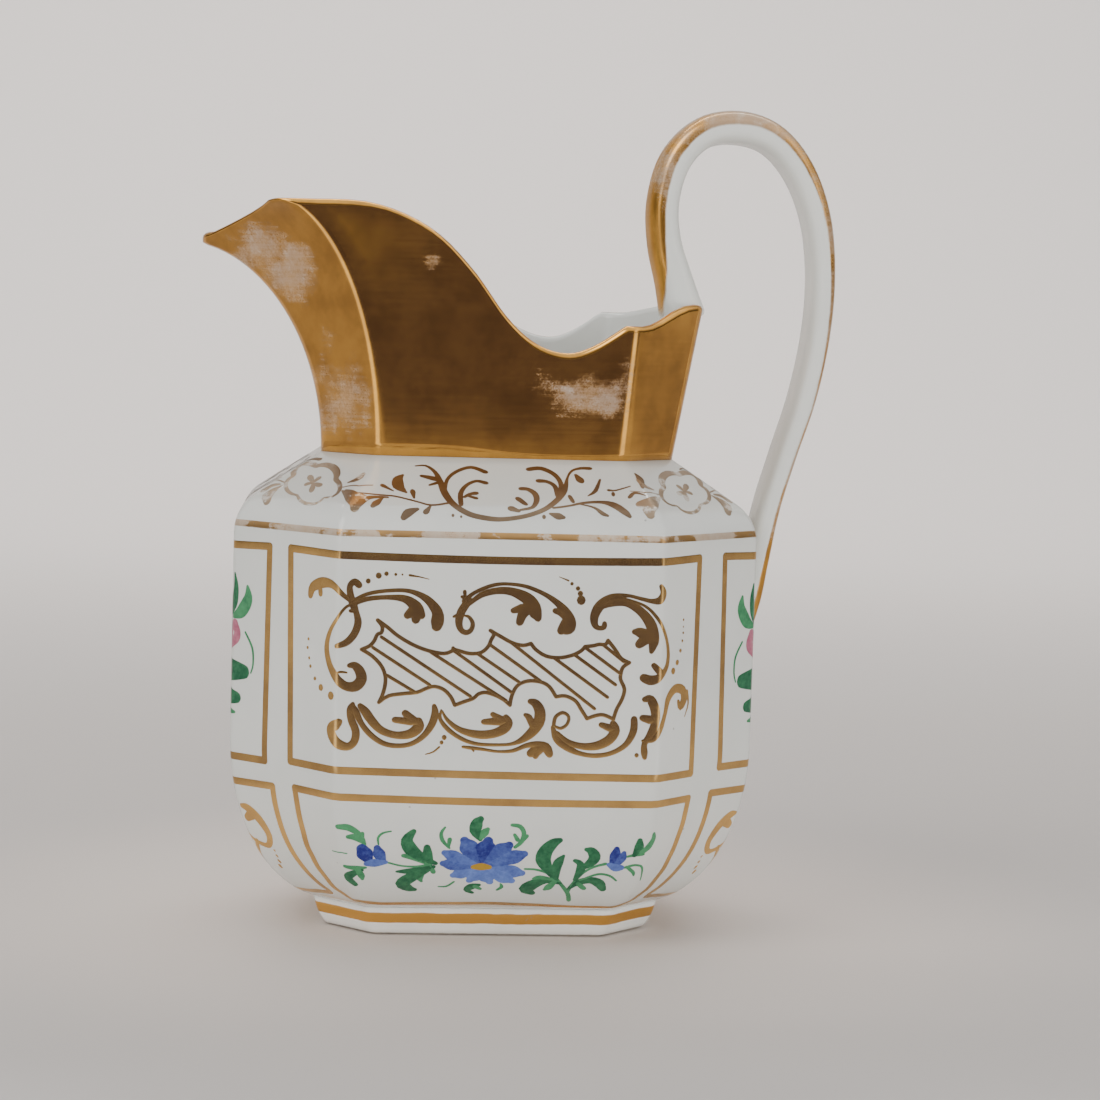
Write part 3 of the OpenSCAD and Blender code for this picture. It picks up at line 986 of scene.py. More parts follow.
@dataclass
class Paint:
    """All the brush strokes of one colour.

    Each stroke is a centre line of (u, z, half width) in millimetres. u runs along
    the surface from the middle of a facet, to the right seen from outside, and on
    round the corner over the narrow facets beside it.
    """

    name: str
    form: JugForm
    slot: str
    film: float = 0.012
    bed: float = 0.06
    base_lift: float = 0.02
    spacing: float = 0.8
    corner_spacing: float = 0.32
    corner_reach: float = 3.0
    thinnest: float = 0.02
    cap_angles: tuple = (40, 65, 84)
    places: list = field(default_factory=list)
    threads: list = field(default_factory=list)
    half_widths: list = field(default_factory=list)
    facings: list = field(default_factory=list)
    lifts: list = field(default_factory=list)
    tones: list = field(default_factory=list)

    def stroke(self, face: Face, line: Line, tone: float = 0.5, lift: float = 0.0) -> None:
        """Adds a round-ended stroke.

        Args:
            face: the facet that u is measured on.
            line: points of the centre line.
            tone: how strong its colour is, from 0 to 1.
            lift: how far it lies above the first layer of paint.
        """
        points = self.sampled(face, line)
        points = self.cap(points[0], points[1])[::-1] + points + self.cap(points[-1], points[-2])
        base = len(self.places)
        for u, z, half_width in points:
            place, facing = self.form.surface(face.value, u, z)
            self.places.append(tuple(v * MM for v in place))
            self.facings.append(facing)
            self.half_widths.append(max(half_width, self.thinnest) * MM)
            self.lifts.append((self.base_lift + lift) * MM)
            self.tones.append(tone)
        self.threads += [(base + k, base + k + 1) for k in range(len(points) - 1)]

    def sampled(self, face: Face, line: Line) -> list[tuple]:
        """Points along a centre line, closer together where it rounds a corner of the body."""
        points = [tuple(line[0])]
        for k in range(len(line) - 1):
            (u0, z0, _), (u1, z1, _) = line[k], line[k + 1]
            half = self.form.half_width(face.value, (z0 + z1) / 2)
            past0, past1 = abs(u0) - half, abs(u1) - half
            near = min(abs(past0), abs(past1)) < self.corner_reach or past0 * past1 < 0
            step = self.corner_spacing if near else self.spacing
            count = max(3, math.ceil(math.hypot(u1 - u0, z1 - z0) / step))
            points += [curve_at(line, k + i / count) for i in range(1, count + 1)]
        return points

    def cap(self, end: Sequence[float], inner: Sequence[float]) -> list[tuple]:
        """Points that round off one end of a stroke.

        Args:
            end: the stroke's last point.
            inner: the point before it.

        Returns:
            Points beyond the end, with half widths that shrink to nothing.
        """
        run = Vector((end[0] - inner[0], end[1] - inner[1]))
        if run.length < 1e-6:
            return []
        run.normalize()
        points = []
        for a in map(math.radians, self.cap_angles):
            on = run * end[2] * math.sin(a)
            points.append((end[0] + on.x, end[1] + on.y, end[2] * math.cos(a)))
        return points

    def dot(self, face: Face, u: float, z: float, radius: float) -> None:
        """Adds a round dab."""
        low, high = z - 0.05 * radius, z + 0.05 * radius
        self.stroke(face, ((u, low, radius), (u, high, radius)))

    def build(self, surface: bpy.types.Object, material: bpy.types.Material) -> bpy.types.Object:
        """Sweeps the strokes and lays them on a surface.

        Args:
            surface: the piece that is painted.
            material: the paint.

        Returns:
            The finished film, as one plain mesh.
        """
        mesh = bpy.data.meshes.new(self.name)
        mesh.from_pydata(self.places, self.threads, [])
        for title, values in (("half_width", self.half_widths), ("lift", self.lifts),
                              ("tone", self.tones)):
            mesh.attributes.new(title, "FLOAT", "POINT").data.foreach_set("value", values)
        ways = [v for facing in self.facings for v in facing]
        mesh.attributes.new("facing", "FLOAT_VECTOR", "POINT").data.foreach_set("vector", ways)
        piece = bpy.data.objects.new(self.name, mesh)
        bpy.context.scene.collection.objects.link(piece)
        grow = piece.modifiers.new("painted_film", "NODES")
        grow.node_group = painted_film()
        inputs = {entry.name: entry.identifier for entry in grow.node_group.interface.items_tree}
        grow[inputs["Surface"]] = surface
        grow[inputs["Film"]] = self.film * MM
        grow[inputs["Bed"]] = self.bed * MM
        grow[inputs["Paint"]] = material
        plain(piece)
        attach(piece, BODY)
        return piece


def plain(piece: bpy.types.Object) -> None:
    """Turns a piece's evaluated result into its own plain mesh and takes its modifiers off."""
    graph = bpy.context.evaluated_depsgraph_get()
    mesh = bpy.data.meshes.new_from_object(piece.evaluated_get(graph), depsgraph=graph)
    piece.modifiers.clear()
    piece.data = mesh


def mirrored(line: Line) -> Line:
    """The same centre line, mirrored left to right about the middle of its facet."""
    return tuple((-u, z, w) for u, z, w in line)


def layer(k: int, count: int) -> float:
    """Lift of stroke k, so that neighbours among count strokes never lie in one plane."""
    return 0.006 * (k % count)


@dataclass
class GiltLines:
    """The gold line round the shoulder and the frames of the panels."""

    form: JugForm
    half_width: float = 0.78
    shoulder_half_width: float = 0.68
    shoulder_z: float = 83.5
    shoulder_reach: Point2 = (46.5, 35.5)
    shoulder_steps: int = 24
    across_steps: int = 20
    down_steps: int = 8
    front_upper: tuple = ((-45.2, 79.5), (42.9, 79.4), (42.3, 36.3), (-44.2, 37.2))
    end_upper: tuple = ((-31.4, 79.4), (31.4, 79.4), (30.9, 36.4), (-30.9, 36.6))
    sags: tuple = (0.7, 0.3, 0.5)
    front_lower: tuple = (
        (-42.9, 31.9), (-41.6, 26), (-39.7, 20), (-37, 15.5), (-33, 11.1), (-28, 8.4), (-22, 7.7),
        (-14, 7.9), (0, 8.2), (9, 7.9), (18, 7.4), (25, 7.4), (29.6, 8.9), (33.6, 11.7), (37, 16),
        (39.1, 20.5), (41, 26), (42, 31.1),
    )
    end_lower: tuple = (
        (-32.2, 31.4), (-31.3, 25), (-30.2, 19), (-29.3, 13), (-28.7, 9.4), (-20, 8.3), (-9, 7.6),
        (9, 7.6), (20, 8.3), (28.7, 9.4), (29.3, 13), (30.2, 19), (31.3, 25), (32.2, 31.4),
    )

    def run(self, points: Sequence[Point2], steps: int = 1, sag: float = 0.0) -> Line:
        """Even line through points, cut into steps, with an optional sag in its middle."""
        line = []
        for (u0, z0), (u1, z1) in zip(points, points[1:]):
            for share in (k / steps for k in range(steps)):
                z = mix(z0, z1, share) - sag * math.sin(math.pi * share)
                line.append((mix(u0, u1, share), z, self.half_width))
        return tuple(line) + ((*points[-1], self.half_width),)

    def draw(self, paint: Paint) -> None:
        """Draws the frames of all four sides."""
        wide, narrow = (self.front_upper, self.front_lower), (self.end_upper, self.end_lower)
        for face, (upper, lower) in ((Face.FRONT, wide), (Face.BACK, wide),
                                     (Face.SPOUT_END, narrow), (Face.HANDLE_END, narrow)):
            a, b, c, d = upper
            top, bottom, gap = self.sags
            paint.stroke(face, self.run((a, b), self.across_steps, top))
            paint.stroke(face, self.run((b, c), self.down_steps))
            paint.stroke(face, self.run((d, c), self.across_steps, bottom))
            paint.stroke(face, self.run((a, d), self.down_steps))
            paint.stroke(face, self.run(lower, 2))
            paint.stroke(face, self.run((lower[0], lower[-1]), self.across_steps, gap))

    def draw_shoulder(self, paint: Paint) -> None:
        """Draws the worn line round the shoulder."""
        wide, narrow = self.shoulder_reach
        for face, reach in ((Face.FRONT, wide), (Face.BACK, wide),
                            (Face.SPOUT_END, narrow), (Face.HANDLE_END, narrow)):
            shares = (k / self.shoulder_steps for k in range(self.shoulder_steps + 1))
            line = tuple((mix(-reach, reach, share), self.shoulder_z, self.shoulder_half_width)
                         for share in shares)
            paint.stroke(face, line)


@dataclass
class Rocaille:
    """The gold scrollwork of the upper front and back panels, round a hatched cartouche."""

    outline_width: float = 0.4
    hatch_width: float = 0.36
    scrolls: tuple = (
        ((-28.5, 69.5, .3), (-30.6, 71.2, .5), (-33.3, 73.2, .8), (-36.2, 73.4, 1.1),
         (-38.8, 72.3, 1.0), (-39.4, 70.7, .7)),
        ((-36.8, 72.8, .6), (-36.6, 71.2, .6)),
        ((-27.8, 73.4, .7), (-28.6, 74, .7), (-29.5, 73.2, .6), (-29.4, 71.5, .7),
         (-28.8, 69.5, .8), (-28.2, 68, .6), (-27.8, 66, .75), (-28.5, 63.8, .75), (-30, 62.1, .7),
         (-32, 61.3, .5)),
        ((-29.3, 68.3, .4), (-28.7, 68.3, .4)),
        ((-28.5, 69.8, .3), (-30.2, 69, .3), (-31.8, 67, .35), (-33.8, 64, .5), (-34.6, 61, .65),
         (-33.9, 58, .75), (-32.1, 55.3, .9), (-30, 53.6, .9), (-28, 53.6, 1.1), (-26.9, 55, 1.1),
         (-27.3, 56.6, 1.0), (-28.3, 57.6, .8), (-29.3, 57.6, .5)),
        ((-32.3, 55.9, .2), (-31, 56.3, .25), (-29.8, 56.2, .2)),
        ((-29, 70.3, .3), (-26, 71.7, .4), (-22, 72.4, .4), (-18, 72.4, .45), (-14.7, 71, .75),
         (-12.5, 68.5, 1.1), (-12.4, 66.6, 1.3), (-12.5, 65.7, 1.1)),
        ((-29, 69.6, .5), (-26, 70.7, .5), (-22, 71.1, .5), (-18.7, 70.8, .8), (-16.6, 69.3, 1.2),
         (-15.6, 67.8, .9)),
        ((-16.8, 68.9, 1.2), (-18.2, 67.7, .8)), ((-16.4, 68.6, 1.2), (-16.6, 66.9, .9)),
        ((-30.9, 46.6, .5), (-32, 46, .9), (-33, 45, 1.1), (-32.5, 43.4, 1.1), (-31, 42.1, 1.0),
         (-29.2, 41.7, .8), (-28, 42.8, .8), (-27.8, 44.8, .8), (-28.7, 47, .75), (-29, 49, .65),
         (-28.5, 50, .5)),
        ((-31.2, 46.4, .8), (-31.8, 45.6, .9)),
        ((-28.6, 50, .4), (-27.8, 48.5, .7), (-26.8, 46.4, .6), (-25, 44.2, .6),
         (-22.5, 42.5, .55), (-19.8, 42, .5), (-17, 42.4, .5), (-14.6, 44, .6), (-13, 46.3, .75),
         (-12.4, 48.5, .75), (-12.6, 49.9, .5)),
        ((-27, 49.7, .6), (-26, 48.6, .9), (-24.6, 46.7, .9), (-22.8, 45, .8), (-20, 44.1, .75),
         (-17.2, 44.4, .95), (-15.6, 45.7, 1.1), (-15.6, 46.8, .9)),
        ((-16.4, 46.9, .9), (-18.2, 48.4, .75)), ((-17, 46.8, .8), (-20.2, 47.1, .65)),
        ((-11.2, 49.2, .2), (-11.4, 47.5, .4), (-10, 45.6, .5), (-7.5, 43.8, .45),
         (-4.5, 42.7, .4), (-1, 42.5, .35), (3, 42.8, .4), (6, 44.5, .9), (7.9, 47, 1.15),
         (8.1, 49.3, 1.1), (7.2, 50.8, .9), (6.2, 51.2, .6)),
        ((6.8, 46.4, .7), (6, 48, .7), (5.3, 48.5, .45)),
        ((-11, 49, .2), (-10, 47.3, .4), (-7.5, 45.4, .6), (-4, 44.5, .85), (-1, 44.7, .9),
         (1.2, 45.7, 1.0), (2, 46.9, .9), (1.5, 47.9, .7)),
        ((0.3, 47.2, .9), (-2.8, 47, .6)), ((0.8, 47.4, .8), (-1.1, 48.5, .55)),
        ((-6.8, 42, .3), (-5, 41.8, .4), (-3, 41.6, .35), (0, 41.2, .3), (3, 41.4, .4),
         (5.4, 42.4, .5), (7.4, 42.7, .7), (9.4, 42.2, 1.0), (10.2, 40.9, .8)),
        ((-5.2, 41.8, .2), (-4.7, 41.2, .2)), ((8, 41.8, 1.2), (6.6, 41, .9)),
        ((7.8, 41.4, .9), (7.5, 40.4, .6)),
        ((-7.3, 70.7, .5), (-5.2, 72.4, .4), (-2, 73.8, .4), (1, 74.2, .35), (5, 73.7, .4),
         (9, 72, .5), (12, 69.7, .8), (13.6, 67.4, 1.0), (13.7, 65.7, .9), (12.8, 65.2, .8)),
        ((12.8, 66.8, 1.1), (11.9, 65.3, .9)),
        ((12.6, 67.9, .7), (11.6, 68.8, .7), (10.6, 69.1, .6)),
        ((-6.4, 70, .4), (-4, 71.9, .6), (-1, 72.8, .7), (2, 72.7, .85), (5, 71.4, 1.2),
         (6.6, 69.6, 1.2), (7.2, 67.7, .8)),
        ((5.2, 69.6, 1.3), (4.2, 68.3, 1.0), (3.7, 66.8, .8)), ((4, 69.5, .9), (2.4, 69, .6)),
        ((6.4, 68.4, .9), (7.3, 67.3, .45)),
        ((-6.4, 70.8, .8), (-7.8, 68.5, .85), (-8.2, 66.5, .75), (-7.8, 65.1, .6),
         (-6.8, 64.5, .55), (-5.8, 65, .5), (-5.5, 66.4, .45), (-6.3, 67.6, .35),
         (-7.2, 67.8, .2)),
        ((-9.2, 67.6, .3), (-8.4, 68, .3)), ((-7.2, 72.5, .4), (-7.1, 71.4, .3)),
        ((-7.7, 71.5, .35), (-7, 71, .3)),
        ((31.3, 74.3, .5), (31.9, 73, .8), (31.1, 71.6, .8), (29.5, 71.4, .5), (27.5, 71.8, .4),
         (24.5, 72.4, .4), (21.5, 71.9, .8), (19.3, 70.3, 1.0), (18.3, 68.3, .9), (18.4, 66.6, .7),
         (19.2, 65.9, .5), (20.2, 66.1, .55), (20.3, 66.8, .5)),
        ((19.5, 70, .5), (21.5, 71, .9), (24.5, 71, .8), (27.4, 69.3, .9), (29.4, 66.8, 1.1),
         (30.1, 64, 1.1), (29.9, 62.4, .8), (29.7, 61.5, .5)),
        ((28.9, 64.6, 1.2), (27.2, 65.2, 1.0), (26.3, 65.3, .6)),
        ((28.8, 64.2, 1.2), (27.3, 62.9, .9)),
        ((24, 71.9, .2), (28, 70.5, .3), (30.5, 68.3, .35), (32.6, 65, .4), (33.7, 61.5, .5),
         (33.4, 58.5, .6), (31.5, 56.4, .8), (29.8, 55.8, 1.0), (28.4, 56.2, .9)),
        ((31.6, 57.4, .8), (30.3, 58.7, .6)),
        ((28.7, 52, .6), (29.8, 52, .9), (30.8, 50, 1.0), (30.9, 47.5, .9), (30, 45, .8),
         (28.9, 43.2, .6), (28.9, 41.5, .7), (29, 40.5, .5)),
        ((28.4, 48.3, .7), (29.8, 48, .9)),
        ((28.5, 43.8, .3), (30.5, 44, .5), (32.1, 46, .6), (33.3, 49, .6), (34.2, 52, .8),
         (36.3, 53.8, .9), (38.7, 53.3, 1.0), (39.2, 51.5, 1.0), (38.1, 50.1, .8),
         (37.4, 51.2, .4)),
        ((40.1, 53, .4), (40.6, 50.5, .25), (39.6, 48, .12)),
        ((10.9, 46.6, .4), (11.2, 48.2, .4), (12.6, 49.1, .4), (13.8, 48.3, .35),
         (13.5, 46.8, .35), (12.3, 46, .35), (11.3, 46.3, .3)),
        ((10.7, 46.2, .4), (11.6, 43.9, .8), (13.8, 42.1, .7), (16.5, 41, .5), (19.5, 40.7, .5),
         (22.5, 41.3, .5), (25.2, 43, .6), (26.6, 45.6, .75), (26.7, 48, .7)),
        ((11.6, 45, .5), (13.8, 43.3, .6), (16.7, 42.5, .7), (19.6, 42.7, .9), (22, 44, 1.0),
         (23, 45.8, 1.0), (22.6, 47.1, .7)),
        ((22, 46.2, .8), (20.3, 46.8, .6)),
    )
    outlines: tuple = (
        ((-24, 66.6), (-22, 65.2), (-20, 63.6), (-17, 61.9), (-14, 60.8), (-11, 60.3),
         (-9.3, 60.9), (-9.2, 61.4)),
        ((-9.2, 61.2), (-8, 60.9), (-6, 60.4), (-3.8, 60.6), (-2.4, 61.8), (-1.8, 63.2),
         (-1.3, 64.3), (-2, 65)),
        ((-2, 65), (0.5, 63.6), (2.5, 62.6), (4.5, 62.2), (6, 62.6)),
        ((6, 62.6), (7, 61.4), (9, 60.2), (11.5, 59.9), (14, 60.4), (15.8, 61.3), (16.6, 62.2)),
        ((16.6, 62.2), (18.2, 62.4), (19.4, 62.7), (20.6, 62.7), (21.1, 63.5)),
        ((21.1, 63.5), (22.5, 61.8), (23.8, 60), (25.4, 59.2)),
        ((-24, 66.6), (-23.1, 65.4), (-23.2, 64.2), (-24, 63.8), (-24.6, 62.5), (-25.5, 61.5),
         (-27, 60.8)),
        ((-27, 60.8), (-25, 59.6), (-23.2, 57.8), (-22.3, 55.8), (-22.3, 53.8), (-22.8, 51.8),
         (-23.4, 50.5)),
        ((-23.4, 50.5), (-21.5, 51.8), (-18.5, 52.3), (-16, 52.6), (-14.2, 53.4), (-12.6, 53.8),
         (-10.8, 53.2), (-9.4, 51.8), (-8.6, 50.2)),
        ((-8.6, 50.2), (-6.8, 50.9), (-5, 51.6), (-4, 52.5), (-2.5, 52.8), (-0.5, 52.2), (1, 51.4),
         (2.2, 50.4)),
        ((2.2, 50.4), (2.5, 52.2), (3.5, 54.2), (5.5, 55.2), (8, 55.1), (9.8, 54.2), (11.2, 52.2)),
        ((11.2, 52.2), (13, 52.4), (15, 51.5), (16.2, 49.8), (17.4, 48)),
        ((17.4, 48), (19, 48.6), (20.6, 48.8), (22.6, 48)),
        ((25.4, 59.2), (24.2, 58.3), (23.8, 57), (23.8, 55.8), (24.6, 54), (24.2, 52), (23.2, 50),
         (22.6, 48)),
    )
    hatching: tuple = (
        ((-24.8, 61.2), (-13.6, 54.1)), ((-23.2, 63.3), (-5.6, 52)),
        ((-21.9, 55.8), (-16.4, 52.6)), ((-13.5, 60.5), (1.4, 51.3)), ((-9.2, 61), (2.3, 53)),
        ((-4.4, 60.4), (3.8, 55)), ((-2, 62.2), (8, 55.3)), ((2, 62.8), (18.8, 50)),
        ((10.4, 60), (21.3, 52.3)), ((14.8, 60.4), (22.8, 54.8)), ((16.8, 61.9), (23.7, 57)),
        ((20.2, 62.6), (24.3, 59.4)),
    )
    dots: tuple = (
        (-26, 74.2, .5), (-24, 75.3, .6), (-22.5, 75.7, .45), (-20.7, 75.6, .3), (-19.4, 75.6, .2),
        (-39.7, 62, .3), (-39.9, 60.3, .3), (-39.4, 58.3, .3), (-39, 56.7, .33),
        (-37.7, 54.4, .38), (-36, 52.8, .65), (-33.2, 51.5, .8), (-10.5, 43.8, .5),
        (-11, 42.8, .4), (13.7, 74.5, .35), (14.9, 73.6, .45), (15.4, 72.6, .55), (15.6, 71.3, .9),
        (38.3, 67.4, .25), (38.3, 66, .18), (38.3, 64.8, .25), (38.1, 63.2, .3), (37.6, 61.3, .4),
        (36.7, 59, .55), (35.5, 57.4, .65), (27.4, 40.9, .45),
    )
    tails: tuple = (
        ((-18, 75.5, .25), (-16, 75.2, .15), (-14.2, 74.8, .08)),
        ((13, 75.1, .2), (11.2, 75.8, .08)),
        ((-11.4, 41.9, .2), (-12.6, 40.9, .18), (-14.1, 40.4, .1)),
    )

    def draw(self, paint: Paint, face: Face) -> None:
        """Draws the panel on one face."""
        for line in self.scrolls + self.tails:
            paint.stroke(face, line)
        for lines, width, lift in ((self.outlines, self.outline_width, 0.004),
                                   (self.hatching, self.hatch_width, 0.008)):
            for points in lines:
                paint.stroke(face, tuple((u, z, width) for u, z in points), lift=lift)
        for u, z, radius in self.dots:
            paint.dot(face, u, z, radius)


@dataclass
class ShoulderWreath:
    """Gold foliage on the shoulder: a scroll on each wide facet, a flower on each corner."""

    scroll: tuple = (
        ((-3.2, 95.2, .45), (-6, 96, .4), (-9, 95.1, .35), (-10.8, 93.6, .3), (-11.3, 91.6, .3)),
        ((-17, 96, .15), (-15, 96.1, .25), (-13.2, 95, .35), (-12.2, 93.3, .5), (-11.2, 91, .6),
         (-9.5, 89.1, .55), (-6.5, 87.5, .5), (-3, 86.8, .45), (0, 86.7, .4), (4, 87.3, .4),
         (7.5, 88.4, .45), (10, 89.8, .5), (12, 91.6, .5), (12.7, 93, .4), (13.2, 94.6, .2),
         (14.2, 95.8, .25), (16, 96.3, .35), (17.8, 96.3, .4)),
        ((5.6, 95.9, .5), (8, 96.1, .5), (10.5, 95.1, .45), (11.7, 93.6, .4), (11.7, 92, .45)),
        ((7.4, 93.8, .5), (9, 93.7, .4), (10.5, 92.9, .4), (11, 91.2, .45)),
        ((-3.2, 93.2, .45), (-5, 93.5, .35), (-7, 92.7, .35), (-8.2, 91.2, .4), (-8.2, 89.4, .4)),
        ((-7.4, 90.6, .3), (-6.4, 91.1, .35), (-5.2, 91.3, .45)),
        ((-6.4, 90.7, .3), (-5.2, 90.4, .35)),
        ((3.8, 92.3, .45), (5.2, 92.2, .45), (6.5, 91.4, .5), (6.7, 90.2, .45), (5.8, 89, .35),
         (3.5, 88.5, .25)),
        ((1.7, 88.7, .6), (3, 88.3, .35)), ((3.2, 90.4, .5), (4.4, 89.6, .4)),
        ((-15.8, 94.2, .35), (-13.6, 93.8, .55), (-12.3, 93.4, .35)),
        ((-14.2, 92.6, .25), (-12.8, 93, .35)),
        ((-10.8, 89.4, .25), (-14, 89, .22), (-17, 89.6, .2), (-21, 90.4, .2), (-24, 90.6, .2),
         (-28, 90.9, .15)),
        ((-22.5, 90.2, .2), (-26, 90.1, .45), (-28, 89.2, .75), (-29, 88.2, .6)),
        ((-23.6, 90, .2), (-24.7, 89.2, .6), (-25.3, 88.7, .45)),
        ((-19, 91.2, .25), (-20.4, 92.2, .9), (-20.5, 93.5, .8), (-19.7, 94.2, .3)),
        ((-16.8, 88.2, .35), (-18.4, 87.6, .75), (-19.3, 86.7, .55)),
        ((-14.2, 88.8, .2), (-15, 87.8, .5)), ((-21.5, 91.4, .15), (-23.5, 92.3, .4)),
        ((-17.4, 90.3, .2), (-17.6, 91.2, .45)),
        ((10, 89, .25), (13, 89.4, .25), (16, 90, .3), (19.5, 90.2, .4), (22, 89.7, .7),
         (24, 88.5, .6), (24.8, 87.8, .35)),
        ((15, 89.8, .15), (18, 89.2, .25), (19.5, 88.2, .4), (20.5, 87.8, .25)),
        ((9.3, 87.9, .25), (10.8, 87.5, .65), (11.8, 87.3, .35)),
        ((15, 94.9, .35), (15.6, 94.2, .65)), ((13.4, 91, .35), (13.8, 90.3, .35)),
        ((17, 91.3, .12), (18.5, 92.2, .35), (19.6, 94.2, .2)),
        ((21.2, 92.4, .3), (22.6, 92.4, .2), (25.5, 93.2, .15)),
        ((28.2, 93.4, .4), (28.2, 94.6, .7), (27.4, 95.4, .3)),
        ((25.3, 91.3, .35), (26.3, 92, .3), (28.4, 91.7, .15)),
    )
    beads: tuple = ((8, 87.3, .4), (22, 91.7, .4), (-9.8, 87.2, .3), (-8.2, 87, .25))
    leaves: tuple = (
        ((-8.6, -1.8, .3), (-10.4, -3.2, .9), (-12, -5, 1.4), (-12, -6.6, 1.0)),
        ((-9.4, -1.4, .3), (-11.6, -2, .7), (-13.6, -3.6, 1.0)),
        ((-9.6, 1, .25), (-12, 2.4, .8), (-13.2, 4, .6)),
        ((-8.4, -.6, .2), (-11, .2, .2), (-15.4, .6, .15)),
    )
    petals: int = 5
    petal_reach: float = 7.9
    petal_squash: float = 0.86
    stroke_gain: float = 1.3
    scallop: float = 1.5
    petal_steps: int = 6
    star: tuple = ((0.8, 0.5), (1.9, 0.7))
    flower_z: float = 92.0
    flower_u: float = 40.9
    end_lines: int = 12

    def bloom(self, u0: float) -> list[Line]:
        """Outlined five-petalled flower with its leaves, flat on the sloping shoulder."""
        fall = math.sin(math.atan(1 / JugForm.shoulder_run))
        count = self.petals * self.petal_steps
        ring = []
        for a in (2 * math.pi * k / count for k in range(count + 1)):
            lobe = abs(math.sin(a * self.petals / 2))
            r = self.petal_reach - self.scallop + self.scallop * lobe
            width = mix(0.3, 0.45, lobe) + 0.4 * ease(-0.4, 0.7, math.cos(a))
            ring.append((u0 + r * math.sin(a),
                         self.flower_z + r * math.cos(a) * fall * self.petal_squash, width))
        lines: list[Line] = [ring]
        for a in (2 * math.pi * (k + 0.5) / self.petals for k in range(self.petals)):
            lines.append(tuple((u0 + r * math.sin(a), self.flower_z + r * math.cos(a) * fall, w)
                               for r, w in self.star))
        for leaf in self.leaves:
            for side in (1, -1):
                lines.append(tuple((u0 + side * along, self.flower_z + up * fall, w)
                                   for along, up, w in leaf))
        return lines

    def draw(self, paint: Paint, faint: Paint) -> None:
        """Draws the wreath all round, with the corner flowers in their own fainter paint."""
        for face in (Face.FRONT, Face.BACK):
            for line in self.scroll:
                paint.stroke(face, self.loaded(line))
            for u, z, radius in self.beads:
                paint.dot(face, u, z, radius)
            for place in (self.flower_u, -self.flower_u):
                for line in self.bloom(place):
                    faint.stroke(face, line)
        for face in (Face.SPOUT_END, Face.HANDLE_END):
            for line in self.scroll[:self.end_lines]:
                paint.stroke(face, self.loaded(line))

    def loaded(self, line: Line) -> Line:
        """A line drawn with a fuller brush."""
        return tuple((u, z, w * self.stroke_gain) for u, z, w in line)


